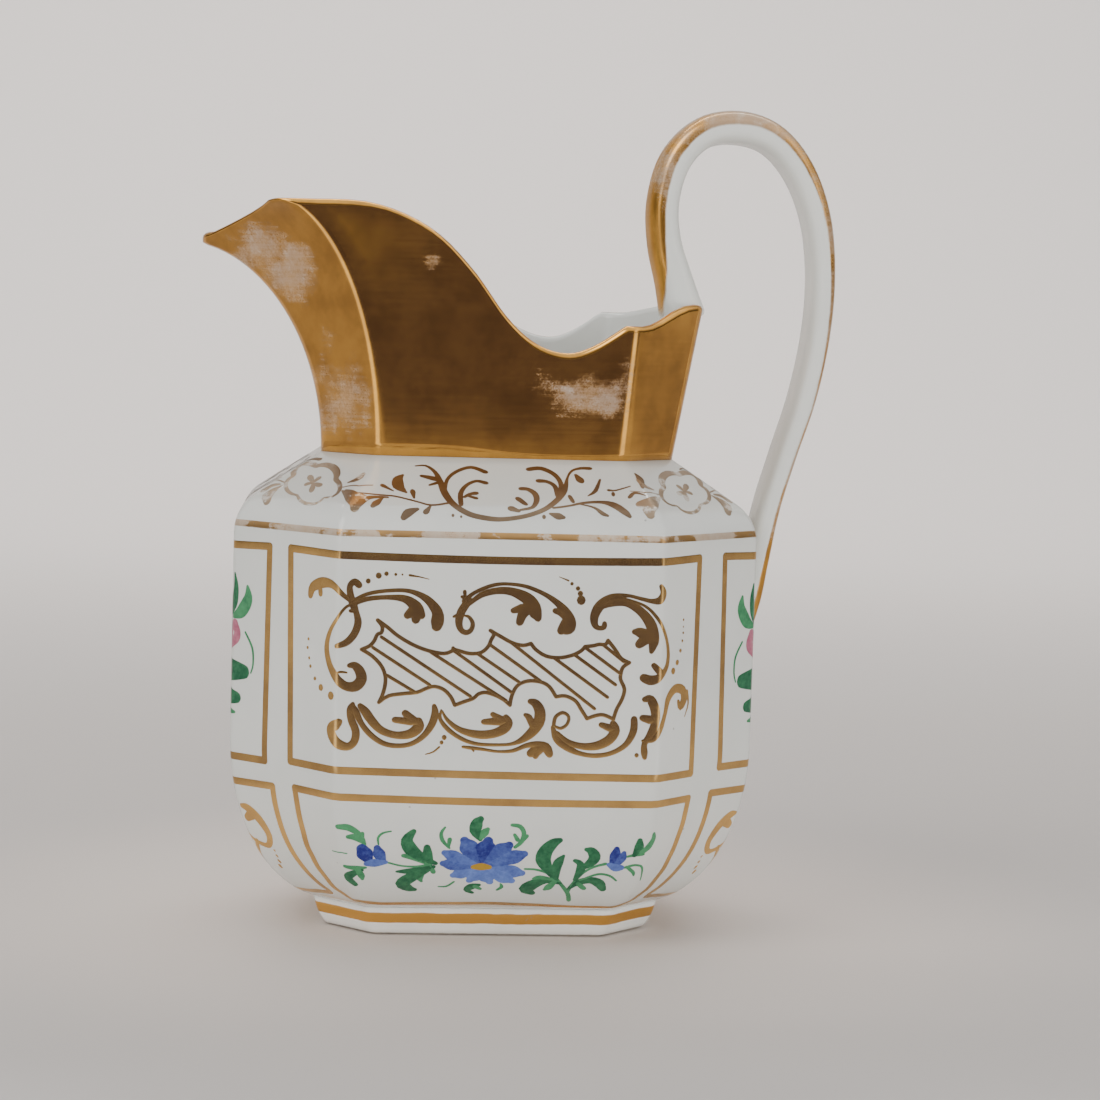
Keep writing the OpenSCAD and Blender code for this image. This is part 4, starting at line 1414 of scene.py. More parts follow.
@dataclass
class Daisy:
    """The blue daisy with two buds in the lower front and back panels."""

    heart: Point2 = (-2.3, 17.5)
    petal_gain: float = 1.28
    leaf_gain: float = 1.2
    broad_leaf: float = 0.75
    sink: float = 0.35
    petal_shape: tuple = ((0.5, 0.8), (0.78, 1.0), (0.98, 0.5))
    eye: tuple = ((-1.5, 0, .6), (0, .1, .95), (1.5, 0, .6))
    tips: tuple = (
        (-5.9, 23.3, 1.5, .7), (-1.2, 23.2, 1.7, .95), (3.0, 22.4, 1.5, .75), (6.2, 20.6, 1.3, .6),
        (5.9, 16.2, 1.3, .35), (3.9, 14.4, 1.3, .2), (-0.5, 14.2, 1.3, .25), (-4.4, 14.5, 1.3, .2),
        (-7.8, 15.5, 1.2, .3), (-10, 18.2, 1.2, .6), (-9.8, 20.6, 1.1, .45),
    )
    buds: tuple = (
        ((-24.6, 18.6, .7), (-25.4, 20, 1.3), (-25.9, 21, 1.0)),
        ((-21.9, 18.6, .6), (-22.6, 20.1, 1.0), (-23, 21.3, .6)),
        ((-21.3, 18.3, .4), (-23.4, 18.1, .8), (-25, 17.9, .5)),
        ((23.7, 18.8, .5), (24.2, 20.4, .9), (24.4, 21.8, .5)),
        ((24.7, 18.6, .5), (25.6, 20, .7), (25.9, 21, .4)),
        ((23.1, 18.4, .4), (24.4, 17.8, .8), (25.4, 17.8, .6)),
    )
    leaves: tuple = (
        ((-20.8, 18.2, .2), (-18, 17.5, .2), (-15, 17.4, .25), (-12.5, 17.8, .4)),
        ((-11.4, 18.2, .4), (-14.2, 19.4, .9), (-16.4, 21.2, 1.2), (-17.2, 23.2, 1.0),
         (-16, 25, .5)),
        ((-12.3, 18.6, .4), (-13, 20.2, .8), (-13.2, 21.6, .6)),
        ((-12.5, 18, .4), (-15.5, 19.3, .6), (-17.8, 19.8, .4)),
        ((-11.8, 17.4, .4), (-14, 16.6, .8), (-17, 16.3, .6), (-19, 16.2, .25)),
        ((-13, 16.6, .5), (-16, 15, 1.1), (-17.8, 13.4, 1.2), (-16.5, 12.3, .9), (-15.4, 12, .5)),
        ((-13.8, 16.5, .5), (-14.4, 14.9, .6), (-14.1, 14.1, .3)),
        ((-12.2, 17.2, .4), (-11.8, 16.3, .45)),
        ((-25.4, 22.2, .2), (-26, 23.4, .4), (-27, 24.6, .5), (-29, 25.7, .6), (-31, 25.7, .45)),
        ((-25.6, 22.4, .3), (-27.4, 23.6, .6), (-28.8, 23.7, .4)),
        ((-25.9, 23, .25), (-26, 24.4, .35)),
        ((-22.8, 22.2, .15), (-22.9, 23.6, .22), (-22, 24.6, .2), (-20.4, 25, .14)),
        ((-25.2, 17, .25), (-27, 16.9, .5), (-29.4, 17.1, .35)),
        ((-26, 16.4, .4), (-28, 15.4, .8), (-28.6, 14.4, .8), (-27.2, 13.1, .5)),
        ((-26.8, 16.6, .5), (-26, 15.2, .6), (-25.8, 14.5, .35)),
        ((-29, 20.1, .14), (-32.5, 20.3, .1)),
        ((-2.8, 23.6, .4), (-3.8, 25.4, 1.0), (-3.5, 27, 1.0), (-2.9, 27.8, .6)),
        ((-2.6, 23.9, .4), (-1.9, 25.1, .7), (-1.4, 25.7, .4)),
        ((-8.8, 21.6, .2), (-10.2, 23.2, .35), (-10.5, 24.8, .3), (-9.8, 26, .18)),
        ((-9, 21.8, .25), (-8.8, 23.4, .4)),
        ((3.4, 26.7, .3), (5, 26.4, .4), (5.8, 25, .4), (5.4, 23.2, .4), (4.2, 22, .3)),
        ((5.2, 23, .4), (6.4, 24.4, .35)), ((4.6, 23.6, .4), (4, 24.6, .3)),
        ((-10.6, 12.8, .14), (-9, 12.9, .22), (-7.6, 14, .2)),
        ((-2.6, 13.3, .4), (-4, 12.9, .8), (-4.9, 12.1, .6), (-3.8, 11.4, .35)),
        ((-3.2, 12.9, .5), (-2.3, 12.4, .35)), ((1.2, 12.2, .25), (2, 12.9, .35), (1.8, 13.6, .2)),
        ((15.8, 9.8, .4), (15.4, 11.5, .4), (13.8, 13.8, .35), (12, 15.8, .3), (9, 17, .25),
         (6.4, 17.2, .2)),
        ((12.8, 14.8, .4), (11, 17.2, .9), (9.9, 19.4, 1.3), (10.4, 21.4, 1.2), (11.8, 23, .9),
         (13, 23.6, .5)),
        ((12.8, 15, .4), (12.7, 17.6, .8), (13.1, 19, .8), (13.9, 20.2, .3)),
        ((13.6, 14, .4), (11, 14.5, .6), (8.6, 13.8, 1.1), (7, 12.5, 1.3), (8, 11.6, .7)),
        ((12.4, 14.8, .3), (9.5, 15.3, .5), (8.3, 15, .3)),
        ((12.6, 14.4, .4), (11.4, 13, .7), (10.8, 12.5, .4)),
        ((15.4, 12, .3), (16.4, 14.4, .25), (18, 16.4, .25), (20, 17.8, .25), (22.4, 18.6, .3)),
        ((16.6, 15, .4), (17.5, 17, .8), (17.3, 18.6, .6), (16.3, 19.2, .4)),
        ((17.6, 17.4, .4), (19.6, 19, .9), (20.1, 20.3, 1.0), (19.3, 21.4, .8), (18.4, 21.7, .4)),
        ((15.4, 12.6, .3), (17, 14.1, .7), (19.6, 14.8, .8), (21.4, 14.1, 1.0), (22.2, 12.9, .7)),
        ((17.4, 13.8, .5), (18.4, 12.9, .5)),
        ((17.6, 14.8, .2), (21, 16.2, .25), (23.4, 15.9, .25), (24.8, 14.8, .2)),
        ((26.4, 20.2, .2), (28.4, 20.7, .35), (29.8, 20.8, .3)),
        ((28, 20.6, .4), (28.8, 22.3, .8), (28.9, 23.7, .5)),
        ((29.4, 21.2, .4), (31, 22.4, .7), (32, 24, .6), (32, 25, .4)),
        ((26.2, 17.8, .25), (28.4, 18.4, .25), (30, 17.6, .22), (30.2, 14.8, .15)),
        ((26.8, 17.9, .35), (28, 16.8, .35), (28.2, 16.1, .2)),
    )

    def draw(self, face: Face, blue: Paint, green: Paint, yellow: Paint) -> None:
        """Draws one panel's flowers."""
        u0, z0 = self.heart[0], self.heart[1] - self.sink
        for k, line in enumerate(self.leaves):
            broad = max(w for _, _, w in line) > self.broad_leaf
            tone = 0.85 if broad else 0.35
            green.stroke(face, self.laid(line, self.leaf_gain), tone, layer(k, 3))
        for k, (u, z, half_width, tone) in enumerate(self.tips):
            wide, tip = half_width * self.petal_gain, z - self.sink
            petal = tuple((mix(u0, u, out), mix(z0, tip, out), wide * w)
                          for out, w in self.petal_shape)
            near = (mix(u0, u, 0.12), mix(z0, tip, 0.12), 0.5)
            blue.stroke(face, (near, *petal), tone, layer(k, 4))
        for k, line in enumerate(self.buds):
            blue.stroke(face, self.laid(line, self.petal_gain), (0.95, 0.75, 0.4)[k % 3],
                        layer(k, 3))
        yellow.stroke(face, tuple((u0 + u, z0 + z, w) for u, z, w in self.eye), 0.4, 0.04)

    def laid(self, line: Line, gain: float) -> Line:
        """A line a little lower on the panel, with its brush widened by gain."""
        return tuple((u, z - self.sink, w * gain) for u, z, w in line)


@dataclass
class Rose:
    """The pink rose with leaves in the upper end panels, and the gold scrolls below it."""

    petals: tuple = (
        ((-1, 62, 1.6), (-5, 63.6, 2.8), (-8.4, 62, 1.8)),
        ((0, 63, 1.6), (-2, 67.4, 2.9), (-.8, 70, 1.8)),
        ((1, 62.5, 1.6), (5.4, 65, 2.9), (7.8, 63.4, 1.7)),
        ((1, 60.4, 1.6), (5.8, 59, 2.8), (7.8, 60.4, 1.6)),
        ((0, 60, 1.6), (.6, 55.6, 3.0), (-1.6, 53.8, 1.7)),
        ((-1, 61, 1.6), (-5.6, 58.4, 2.7), (-7.4, 56.6, 1.6)),
    )
    folds: tuple = (
        ((-3, 63.8, .6), (-.8, 65.6, .9), (2.4, 64.6, .8)),
        ((3.4, 62.8, .6), (3.8, 60.4, .9), (1.8, 58.6, .6)),
        ((-3.6, 61.6, .6), (-2.6, 59.2, .9), (-.2, 58.2, .6)),
        ((-1, 62.6, .8), (.8, 62, .9), (.2, 60.4, .6)),
    )
    leaves: tuple = (
        ((21.4, 73.2, .3), (21.8, 70.4, .8), (21.2, 67.4, 1.2), (20.6, 65.4, .6)),
        ((25.2, 70.8, .4), (25.4, 68.4, 1.3), (23.6, 65.8, 1.4), (21.2, 64.6, .5)),
        ((17.2, 71.4, .35), (18, 68.6, 1.1), (19.6, 65.6, .5)),
        ((9.4, 57.4, .5), (14, 54.4, 2.0), (19.4, 53.8, 2.4), (24.6, 53.6, 1.5)),
        ((10.2, 55, .5), (14.4, 50.4, 2.1), (19.4, 48.6, 1.8), (22.6, 48.2, 1.2)),
        ((7, 53, .5), (9, 48.6, 1.8), (10.4, 45.4, 1.0)),
        ((17, 46, .5), (20.2, 45.4, .6), (22, 45.2, .3)),
        ((24.8, 61.6, .25), (26.9, 58.6, .3), (27.2, 55.4, .25), (26.6, 53.6, .2)),
        ((4, 70.4, .4), (6, 73.2, 1.2), (9, 74.4, .6)),
        ((-.6, 71.4, .4), (0, 73.8, 1.0), (-1, 75.4, .5)),
    )
    buds: tuple = (
        ((20, 58.8, 1.0), (21.6, 60.8, 1.8), (21.6, 63, 1.1)),
        ((18.4, 58.4, .8), (18.8, 61, 1.5), (19.4, 63.2, .8)),
        ((19.4, 64, .3), (19.8, 66, .35), (19.2, 67.4, .45)),
    )
    scrolls: tuple = (
        ((21, 26, .5), (22.8, 25.6, 1.0), (25, 23.6, 1.1), (25.6, 20.6, .9), (23.4, 18.2, .7),
         (20.4, 18.6, .5), (17.6, 20.8, .4)),
        ((23, 24.4, 1.2), (21.4, 23.6, .9)),
        ((20.6, 18.8, .5), (16.4, 14.6, .9), (10, 11.8, 1.1), (4, 11.2, .5)),
        ((16, 21.6, .4), (11, 24.6, .6), (5.6, 24.8, 1.0), (3, 22.4, 1.3), (4.6, 20.4, .8)),
        ((0, 16.4, .9), (1.6, 19, 1.2), (0, 21.4, .5)),
    )
    dark_leaves: tuple = (0, 3, 4)
    dots: tuple = (
        (21.6, 13.6, .45), (22.9, 14.8, .4), (23.6, 16, .32), (24.2, 17.2, .26), (9, 17.2, .5),
        (11, 16.8, .35),
    )

    def draw(self, face: Face, pink: Paint, green: Paint, gold: Paint) -> None:
        """Draws one end's flower and scrolls."""
        for k, line in enumerate(self.petals):
            pink.stroke(face, line, (0.25, 0.4, 0.3)[k % 3], layer(k, 3))
        for line in self.folds:
            pink.stroke(face, line, 0.9, 0.03)
        for side, turned in ((1, tuple), (-1, mirrored)):
            for k, line in enumerate(self.leaves):
                tone = 0.85 if k in self.dark_leaves else 0.45
                green.stroke(face, turned(line), tone, layer(k, 3))
            for k, line in enumerate(self.buds):
                pink.stroke(face, turned(line), 0.35 + 0.3 * k, layer(k, 3))
            for line in self.scrolls:
                gold.stroke(face, turned(line))
            for u, z, radius in self.dots:
                gold.dot(face, side * u, z, radius)


# ---------------------------------------------------------------- handle


@dataclass
class Handle:
    """The high looped strap, with a gold stripe on its outer face."""

    line: tuple = (
        (39.2, 125, 9.6, 17), (36.7, 134, 7.6, 16), (34.3, 142.5, 6.6, 16), (33.8, 151, 6.3, 16),
        (36.2, 159.6, 6.4, 16), (41.8, 165.3, 6.6, 16), (49.4, 166.5, 6.8, 16),
        (56.6, 164, 6.3, 16), (62.4, 157.2, 5.8, 16), (66.1, 147.5, 5.4, 16), (67.4, 136, 5.1, 16),
        (66.8, 124, 5, 16), (64.4, 111, 5, 16), (60.8, 99, 4.8, 16), (57.7, 88, 4.8, 16),
        (55.6, 77, 5.0, 15.5), (54.5, 69, 4.6, 14), (53, 61.2, 3.6, 10.5),
    )
    span_steps: int = 7
    sides: int = 28
    squareness: float = 0.6
    stripe_edge: tuple = ((1.2,), (0.15,), (0.0,), (0.1,), (0.2,), (0.4,), (0.6,), (0.5,), (0.25,))
    stripe_wear: tuple = ((0.1,), (0.0,), (0.7,), (0.95,), (0.6,), (0.8,), (0.95,), (0.8,), (0.2,))
    stripe_span: float = 2.0
    start: float = 0.2
    full_from: int = 3
    end_rings: tuple = ((0.0, 0.5), (0.02, 0.76), (0.06, 0.92), (0.14, 1.0))

    def section(self, u: float, size: float = 1.0) -> list[tuple]:
        """Ring of the strap at parameter u of its middle line, at a fraction of its size."""
        last = len(self.line) - 1
        x, z, thick, width = curve_at(self.line, u)
        thick, width = thick * size, width - (1 - size) * thick
        ahead = curve_at(self.line, min(last, u + 0.05))
        behind = curve_at(self.line, max(0.0, u - 0.05))
        run = Vector((ahead[0] - behind[0], ahead[1] - behind[1])).normalized()
        ring = []
        for c, s in self.corners_of_section():
            ring.append((x - run.y * c * thick / 2, s * width / 2, z + run.x * c * thick / 2))
        return ring[::-1]

    def corners_of_section(self) -> list[Point2]:
        """Rounded oblong of half size 1, as (outwards, sideways)."""
        turns = (2 * math.pi * (i + 0.5) / self.sides for i in range(self.sides))
        return [squared(a, self.squareness) for a in turns]

    def build(self, glaze: bpy.types.Material) -> bpy.types.Object:
        """Makes the strap; its attribute gilt is 1 on the stripe."""
        last = len(self.line) - 1
        count = last * self.span_steps
        places = [(self.start + along, size) for along, size in self.end_rings]
        places += [(k / self.span_steps, 1.0) for k in range(self.full_from, count)]
        places += [(last - 2 * along, size) for along, size in reversed(self.end_rings)]
        piece = skin("strap", [self.section(u, size) for u, size in places])
        stripe, rub = [], []
        for u, _ in places:
            share = min(u / self.stripe_span, len(self.stripe_edge) - 1)
            edge, wear = curve_at(self.stripe_edge, share)[0], curve_at(self.stripe_wear, share)[0]
            stripe += [0.5 + 0.5 * (out - edge) for out, _ in self.corners_of_section()]
            rub += [wear] * self.sides
        mark(piece, "gilt", stripe)
        mark(piece, "rub", rub)
        piece.data.materials.append(glaze)
        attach(piece, BODY)
        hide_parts("handle")
        return piece


@dataclass
class Luting:
    """The slip that joins the strap to the rim and to the end of the body."""

    form: JugForm
    squareness: float = 0.6
    rim_steps: int = 28
    rim_levels: int = 8
    rim_toe: float = 1.2
    rim_toe_half: float = 3.6
    rim_bow: float = 1.6
    bead_low: float = 62.5
    bead_over: float = 3.4
    bead_width: Point2 = (8.2, 14.2)
    bead_squareness: float = 0.35
    bead_radius: float = 0.9
    bead_lean: float = 0.25
    bead_steps: int = 72
    bead_sides: int = 10

    def rim(self, glaze: bpy.types.Material) -> bpy.types.Object:
        """Makes the wedge under the strap's foot, inside the rim."""
        low, high = ([v / MM for v in corner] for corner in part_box("rim_luting"))
        rings = []
        for rise in (k / self.rim_levels for k in range(self.rim_levels + 1)):
            back = mix(high[0] - self.rim_toe, low[0], rise ** self.rim_bow)
            half = mix(self.rim_toe_half, high[1], math.sin(math.pi / 2 * rise))
            rings.append(self.pad(back, high[0], half, mix(low[2], high[2], rise)))
        return self.dressed(skin("rim_luting_slip", rings), glaze, "rim_luting")

    def pad(self, back: float, front: float, half: float, z: float) -> list[tuple]:
        """Rounded level ring between two places in X."""
        turns = (2 * math.pi * (i + 0.5) / self.rim_steps for i in range(self.rim_steps))
        return [(mix(back, front, 0.5 + 0.5 * c), half * s, z)
                for c, s in (squared(a, self.squareness) for a in turns)]

    def body(self, glaze: bpy.types.Material) -> bpy.types.Object:
        """Makes the bead of slip round the strap's lower end."""
        high_z = self.form.shoulder_z + self.bead_over
        rings = []
        for a in (2 * math.pi * k / self.bead_steps for k in range(self.bead_steps)):
            up = 0.5 - 0.5 * math.cos(a)
            z = mix(self.bead_low, high_z, up)
            y = 0.5 * mix(*self.bead_width, up) * squared(a, self.bead_squareness)[1]
            x = self.form.length / 2 - self.form.outer_inset(z)
            out = Vector((0.0, math.copysign(1.0, y or 1.0), self.bead_lean)).normalized()
            rings.append([(x + 0.5 * self.bead_radius * math.cos(t),
                           y + self.bead_radius * math.sin(t) * out.y,
                           z + self.bead_radius * math.sin(t) * out.z)
                          for t in (2 * math.pi * i / self.bead_sides
                                    for i in range(self.bead_sides))])
        return self.dressed(skin("body_luting_slip", rings, closed=True), glaze, "body_luting")

    def dressed(self, piece: bpy.types.Object, glaze: bpy.types.Material,
                node: str) -> bpy.types.Object:
        """Glazes a luting and puts it in its CAD node's place."""
        piece.data.materials.append(glaze)
        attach(piece, BODY)
        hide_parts(node)
        return piece


# ---------------------------------------------------------------- studio


@dataclass(frozen=True)
class Lamp:
    """A rectangular soft light, in metres and watts."""

    name: str
    at: tuple
    target: tuple
    size: Point2
    power: float
    colour: tuple
    in_reflections: bool = True

    def hang(self) -> None:
        """Adds the light to the scene."""
        data = bpy.data.lights.new(self.name, "AREA")
        data.shape = "RECTANGLE"
        data.size, data.size_y = self.size
        data.energy = self.power
        data.color = self.colour
        lamp = bpy.data.objects.new(self.name, data)
        lamp.location = self.at
        way = Vector(self.target) - Vector(self.at)
        lamp.rotation_euler = way.to_track_quat("-Z", "Y").to_euler()
        lamp.visible_glossy = self.in_reflections
        bpy.context.scene.collection.objects.link(lamp)


@dataclass
class Studio:
    """Pale floor with a painted glow round the jug, soft lights and the camera."""

    floor_half: float = 2.4
    floor_front: float = -2.4
    floor_back: float = 0.9
    sweep_radius: float = 0.5
    sweep_steps: int = 12
    backdrop_top: float = 1.8
    card_z: float = 0.002
    card_half: float = 0.7
    card_back: float = 0.25
    card_front: float = -1.2
    flag_from: float = -0.24
    flag_fade: float = 0.06
    strips: tuple = ((-0.31, 0.17, 0.4), (0.52, 0.1, 0.6))
    catch_light: float = 1.7
    lamps: tuple = (
        Lamp("key", (-0.55, -0.45, 0.70), (0, 0, 0.08), (0.5, 0.5), 2.6, (1.0, 0.985, 0.96)),
        Lamp("top", (0.1, 0.2, 0.95), (0, 0, 0.05), (0.9, 0.6), 0.8, (0.97, 0.985, 1.0)),
        Lamp("backdrop", (0.0, 0.75, 1.3), (0, 1.4, 0.5), (1.6, 0.5), 17.8, (1.0, 0.955, 0.928)),
        Lamp("fill", (0.15, -0.95, 0.11), (0, 0, 0.02), (1.1, 0.2), 5.0, (1.0, 0.99, 0.98), False),
        Lamp("skim", (-0.8, -0.35, 0.12), (0, 0, 0.02), (0.4, 0.2), 1.3, (1.0, 0.97, 0.94), False),
        Lamp("skim", (0.8, -0.35, 0.12), (0, 0, 0.02), (0.4, 0.2), 1.3, (1.0, 0.97, 0.94), False),
    )
    camera_at: tuple = (-0.0308, -0.5873, 0.126)
    aim: tuple = (0.0122, -0.0012, 0.07765)
    roll: float = 0.028
    lens: float = 92.1

    def sheet(self, name: str, points: Sequence[tuple], faces: Sequence[tuple],
              material: bpy.types.Material) -> bpy.types.Object:
        """Adds a smooth sheet to the stage.

        Args:
            name: its name.
            points: its points in metres.
            faces: its faces.
            material: its material.

        Returns:
            The new object.
        """
        mesh = bpy.data.meshes.new(name)
        mesh.from_pydata(points, [], faces)
        mesh.shade_smooth()
        mesh.materials.append(material)
        piece = bpy.data.objects.new(name, mesh)
        bpy.context.scene.collection.objects.link(piece)
        return piece

    def floor(self) -> None:
        """Pale floor that rises into a backdrop behind the jug, with a painted glow round the jug;
        the backdrop is painted darker in reflections.
        """
        radius, back = self.sweep_radius, self.floor_back
        profile = [(self.floor_front, 0.0), (back, 0.0)]
        for a in (math.pi / 2 * k / self.sweep_steps for k in range(1, self.sweep_steps + 1)):
            profile.append((back + radius * math.sin(a), radius - radius * math.cos(a)))
        profile.append((back + radius, self.backdrop_top))
        points = [(x, y, z) for y, z in profile for x in (-self.floor_half, self.floor_half)]
        faces = [(2 * i, 2 * i + 1, 2 * i + 3, 2 * i + 2) for i in range(len(profile) - 1)]
        mat, n, shader, at = new_material("pale_floor")
        far = n.step(n.add("ShaderNodeSeparateXYZ", {0: at}).outputs["Y"], 0.15, 1.1)
        near = n.blend(n.noise(at, 6.0), (0.545, 0.516, 0.494, 1), (0.565, 0.535, 0.514, 1))
        # Painted reflection: the backdrop is pale to the camera but darker where polished surfaces
        # reflect it.
        glossy = n.add("ShaderNodeLightPath").outputs["Is Glossy Ray"]
        behind = n.blend(glossy, (0.80, 0.765, 0.74, 1), (0.46, 0.44, 0.42, 1))
        # Painted light: the floor is painted lighter and warmer round the jug, as a glow of light
        # round the foot.
        reach = n.add("ShaderNodeVectorMath", {0: at}, operation="LENGTH").outputs["Value"]
        painted_glow = (0.72, 0.655, 0.61, 1)
        near = n.blend(n.step(reach, 0.15, 0.055), near, painted_glow)
        finish(n, shader, {"Base Color": n.blend(far, near, behind), "Roughness": 0.75})
        self.sheet("floor", points, faces, mat)

    def flag(self) -> None:
        """Card flat round the jug that only polished surfaces see.

        It is dark in front and in two side strips, with a bright slanting strip on
        each side that lights the rounded corners.
        """
        mat = bpy.data.materials.new("dark_card")
        mat.use_nodes = True
        n = Nodes(mat.node_tree)
        n.tree.nodes.clear()
        at = n.add("ShaderNodeTexCoord").outputs["Object"]
        parts = n.add("ShaderNodeSeparateXYZ", {0: at})
        x, y = parts.outputs["X"], parts.outputs["Y"]
        slant = n.math("ADD", y, n.math("MULTIPLY", x, -0.25))
        solid: object = n.step(slant, self.flag_from, self.flag_from - self.flag_fade)
        beside = n.step(n.math("ABSOLUTE", n.math("ADD", y, 0.05)), 0.26, 0.2)
        for middle, half, strength in self.strips:
            away = n.math("ABSOLUTE", n.math("SUBTRACT", x, middle))
            strip = n.math("MULTIPLY", n.step(away, half + 0.04, half),
                           n.math("MULTIPLY", beside, strength))
            solid = n.math("MAXIMUM", solid, strip)
        corner = n.math("ABSOLUTE", n.math("ADD", n.math("ABSOLUTE", x), y))
        catch = n.math("MULTIPLY", n.step(corner, 0.12, 0.05), n.step(y, -0.1, -0.16))
        colour = n.blend(catch, (0.135, 0.125, 0.21, 1), (*[self.catch_light] * 3, 1))
        card = n.add("ShaderNodeEmission", {"Color": colour, "Strength": 1.0})
        clear = n.add("ShaderNodeBsdfTransparent")
        both = n.add("ShaderNodeMixShader", {0: n.math("MAXIMUM", solid, catch),
                                             1: clear.outputs[0], 2: card.outputs[0]})
        n.add("ShaderNodeOutputMaterial", {0: both.outputs[0]})
        front, back, half, z = self.card_front, self.card_back, self.card_half, self.card_z
        points = [(-half, front, z), (half, front, z), (half, back, z), (-half, back, z)]
        sheet = self.sheet("dark_card", points, [(0, 1, 2, 3)], mat)
        for ray in ("camera", "diffuse", "transmission", "volume_scatter", "shadow"):
            setattr(sheet, "visible_" + ray, False)

    def world(self) -> None:
        """Even room light, pale to the camera, and darker low down in reflections."""
        world = bpy.data.worlds.new("room")
        bpy.context.scene.world = world
        world.use_nodes = True
        n = Nodes(world.node_tree)
        back = world.node_tree.nodes["Background"]
        way = n.add("ShaderNodeTexCoord").outputs["Generated"]
        parts = n.add("ShaderNodeSeparateXYZ", {0: way})
        front = n.step(n.math("MULTIPLY", parts.outputs["Y"], -1.0), 0.0, 0.7)
        low = n.step(parts.outputs["Z"], 0.6, 0.1)
        sides = n.blend(low, (1.15, 1.15, 1.15, 1), (0.13, 0.127, 0.124, 1))
        fronts = n.blend(low, (1.1, 1.1, 1.1, 1), (0.13, 0.12, 0.115, 1))
        plain_room = n.blend(front, sides, fronts)
        away = n.math("ABSOLUTE", n.math("SUBTRACT", n.math("ABSOLUTE", parts.outputs["X"]), 0.66))
        slot = n.math("MULTIPLY", n.step(away, 0.16, 0.05), n.step(parts.outputs["Y"], 0.0, -0.3))
        mirrored_room = n.blend(slot, plain_room, (*[self.catch_light] * 3, 1))
        paths = n.add("ShaderNodeLightPath")
        light = n.blend(paths.outputs["Is Glossy Ray"], (0.53, 0.53, 0.53, 1), mirrored_room)
        seen = n.blend(paths.outputs["Is Camera Ray"], light, (0.62, 0.60, 0.585, 1))
        n.link(seen, back, "Color")
        socket(back, "Strength", 1.0)

    def camera(self) -> None:
        """Camera level with the rim, a little to the spout's side."""
        data = bpy.data.cameras.new("camera")
        data.lens = self.lens
        data.sensor_width = 36.0
        eye = bpy.data.objects.new("camera", data)
        look = (Vector(self.aim) - Vector(self.camera_at)).to_track_quat("-Z", "Y")
        turn = look.to_matrix().to_4x4() @ Matrix.Rotation(self.roll, 4, "Z")
        eye.matrix_world = Matrix.Translation(self.camera_at) @ turn
        bpy.context.scene.collection.objects.link(eye)
        bpy.context.scene.camera = eye

    def build(self) -> None:
        """Sets up the whole stage."""
        self.floor()
        self.flag()
        self.world()
        for lamp in self.lamps:
            lamp.hang()
        self.camera()


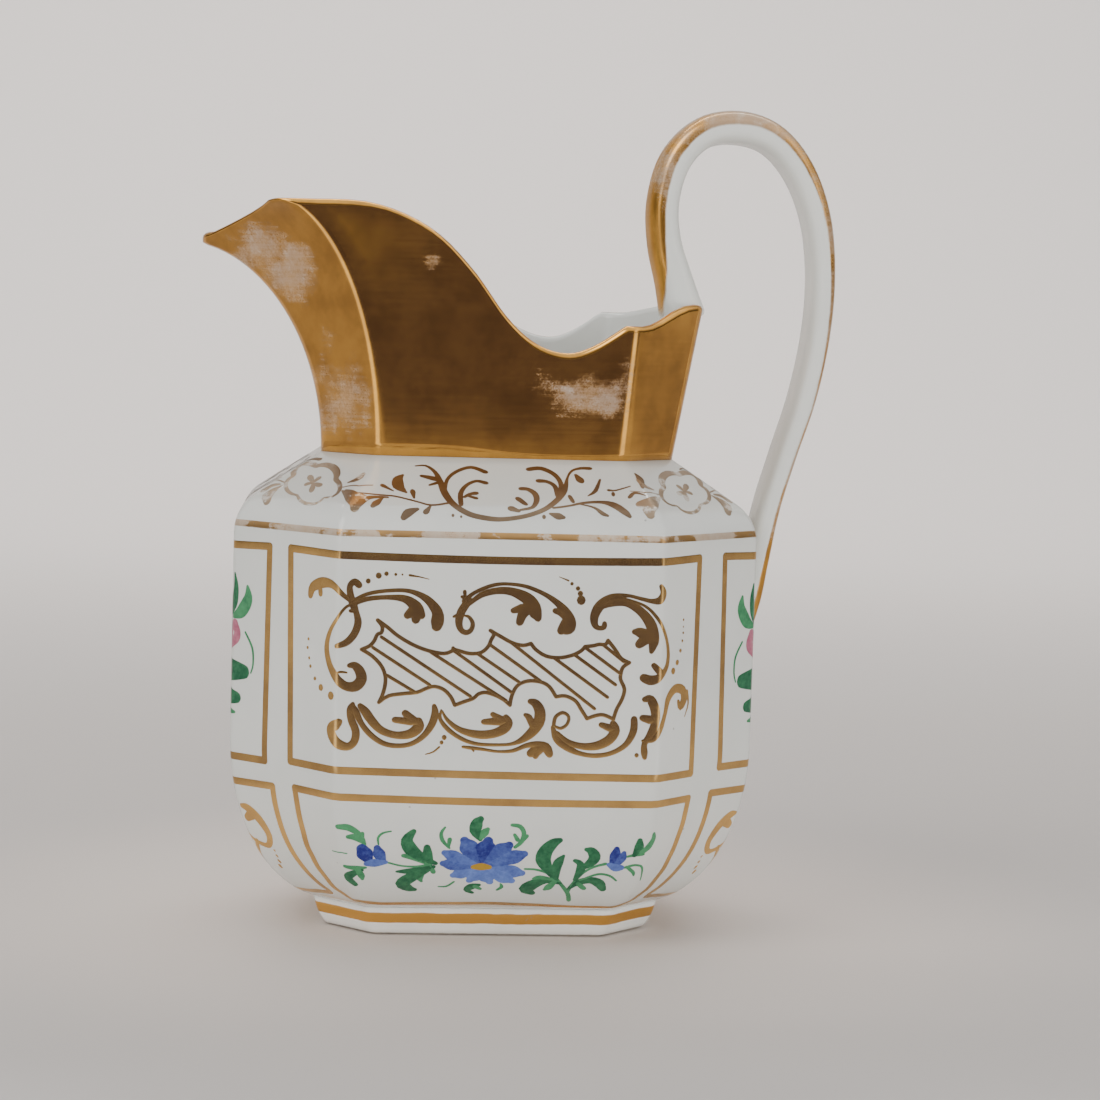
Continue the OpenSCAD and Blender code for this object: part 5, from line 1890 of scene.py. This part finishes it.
def decorate(form: JugForm, body: bpy.types.Object) -> list[bpy.types.Object]:
    """Paints the body.

    Args:
        form: the jug's form.
        body: the glazed body.

    Returns:
        One piece for each kind of paint.
    """
    lines, rubbed, scrolls, wreath, end_scrolls, blooms = (
        Paint(name, form, "gilding") for name in (
            "gold_frames", "gold_shoulder_line", "gold_scrollwork", "gold_wreath",
            "gold_end_scrolls", "gold_corner_flowers"))
    blue, green, pink, yellow = (Paint(name, form, slot) for name, slot in (
        ("blue_flowers", "enamel_blue"), ("green_leaves", "enamel_green"),
        ("pink_roses", "enamel_pink"), ("yellow_hearts", "enamel_yellow")))
    frames = GiltLines(form)
    frames.draw(lines)
    frames.draw_shoulder(rubbed)
    ShoulderWreath().draw(wreath, blooms)
    for face in (Face.FRONT, Face.BACK):
        Rocaille().draw(scrolls, face)
        Daisy().draw(face, blue, green, yellow)
    for face in (Face.SPOUT_END, Face.HANDLE_END):
        Rose().draw(face, pink, green, end_scrolls)
    fresh = Gilding(bright=(0.76, 0.47, 0.16, 1), deep=(0.52, 0.315, 0.12, 1), wear=0.12,
                    roughness=0.2).material("line_gilding")
    faded = Gilding(bright=(0.72, 0.42, 0.16, 1), deep=(0.55, 0.33, 0.15, 1),
                    stain=(0.48, 0.36, 0.27, 1), wear=0.76, patch_scale=110.0, roughness=0.34,
                    thinnest=0.62).material("rubbed_gilding")
    pale = Gilding(bright=(0.36, 0.27, 0.18, 1), deep=(0.27, 0.2, 0.14, 1),
                   stain=(0.6, 0.5, 0.41, 1), wear=0.66, patch_scale=200.0,
                   roughness=0.34).material("pale_gilding")
    # Painted reflection: the wreath's gold is painted dark brown, standing in for the dark
    # reflection of the room above the shoulder.
    dark_painted_wreath_gilding = Gilding(bright=(0.22, 0.157, 0.1, 1), deep=(0.14, 0.092, 0.058, 1), wear=0.3,
                   patch_scale=260.0, roughness=0.3).material("wreath_gilding_painted_dark")
    enamels = {
        "enamel_blue": Enamel((0.005, 0.010, 0.175, 1), (0.13, 0.215, 0.58, 1)),
        "enamel_green": Enamel((0.004, 0.085, 0.035, 1), (0.07, 0.32, 0.13, 1)),
        "enamel_pink": Enamel((0.21, 0.017, 0.06, 1), (0.52, 0.19, 0.26, 1)),
        "enamel_yellow": Enamel((0.33, 0.175, 0.008, 1), (0.43, 0.26, 0.022, 1)),
    }
    done = [paint.build(body, material) for paint, material in (
        (lines, fresh), (rubbed, faded), (wreath, dark_painted_wreath_gilding), (blooms, pale), (scrolls, fresh),
        (end_scrolls, fresh))]
    done += [paint.build(body, enamels[paint.slot].material(paint.slot))
             for paint in (green, blue, pink, yellow)]
    return done


def main() -> None:
    """Builds every piece in order and reports it."""
    logging.basicConfig(level=logging.INFO, format="%(name)s: %(message)s")
    form = JugForm.from_frame()
    Studio().build()
    glaze = Glaze().material("glaze")
    # Painted light: the foot's glaze is painted whiter than the rest of the porcelain, standing in
    # for the light that falls on the foot.
    painted_light_glaze = Glaze(bare_below=0.6 * MM, colour=(0.87, 0.87, 0.83, 1.0),
                   band=(2.9 * MM, 5.1 * MM)).material("gold_band_foot_painted_light")
    # Painted shade: the body's glaze is painted greyer than the porcelain of the foot, handle and
    # lutings, standing in for shade on the body.
    painted_shade_glaze = Glaze(colour=(0.70, 0.71, 0.675, 1.0),
                   shade=(0.63, 0.65, 0.62, 1.0)).material("painted_shade_porcelain")
    foot, body = Foot(form).build(painted_light_glaze), Body(form).build(painted_shade_glaze)
    neck_gold = Gilding(wear=0.22, roughness=0.14).material("neck_gilding", "gilt")
    neck = Neck(form).build(neck_gold)
    strap_gold = Gilding(wear=0.2, patch_scale=90.0, roughness=0.3,
                         edge_tint=(0.8, 0.69, 0.5, 1)).material("handle_gilding", "gilt")
    luting = Luting(form)
    pieces = [foot, body, neck, Handle().build(strap_gold), luting.rim(glaze), luting.body(glaze)]
    pieces += decorate(form, body)
    for piece in pieces:
        log.info("%s: %d faces", piece.name, len(piece.data.polygons))


if __name__ == "__main__":
    main()
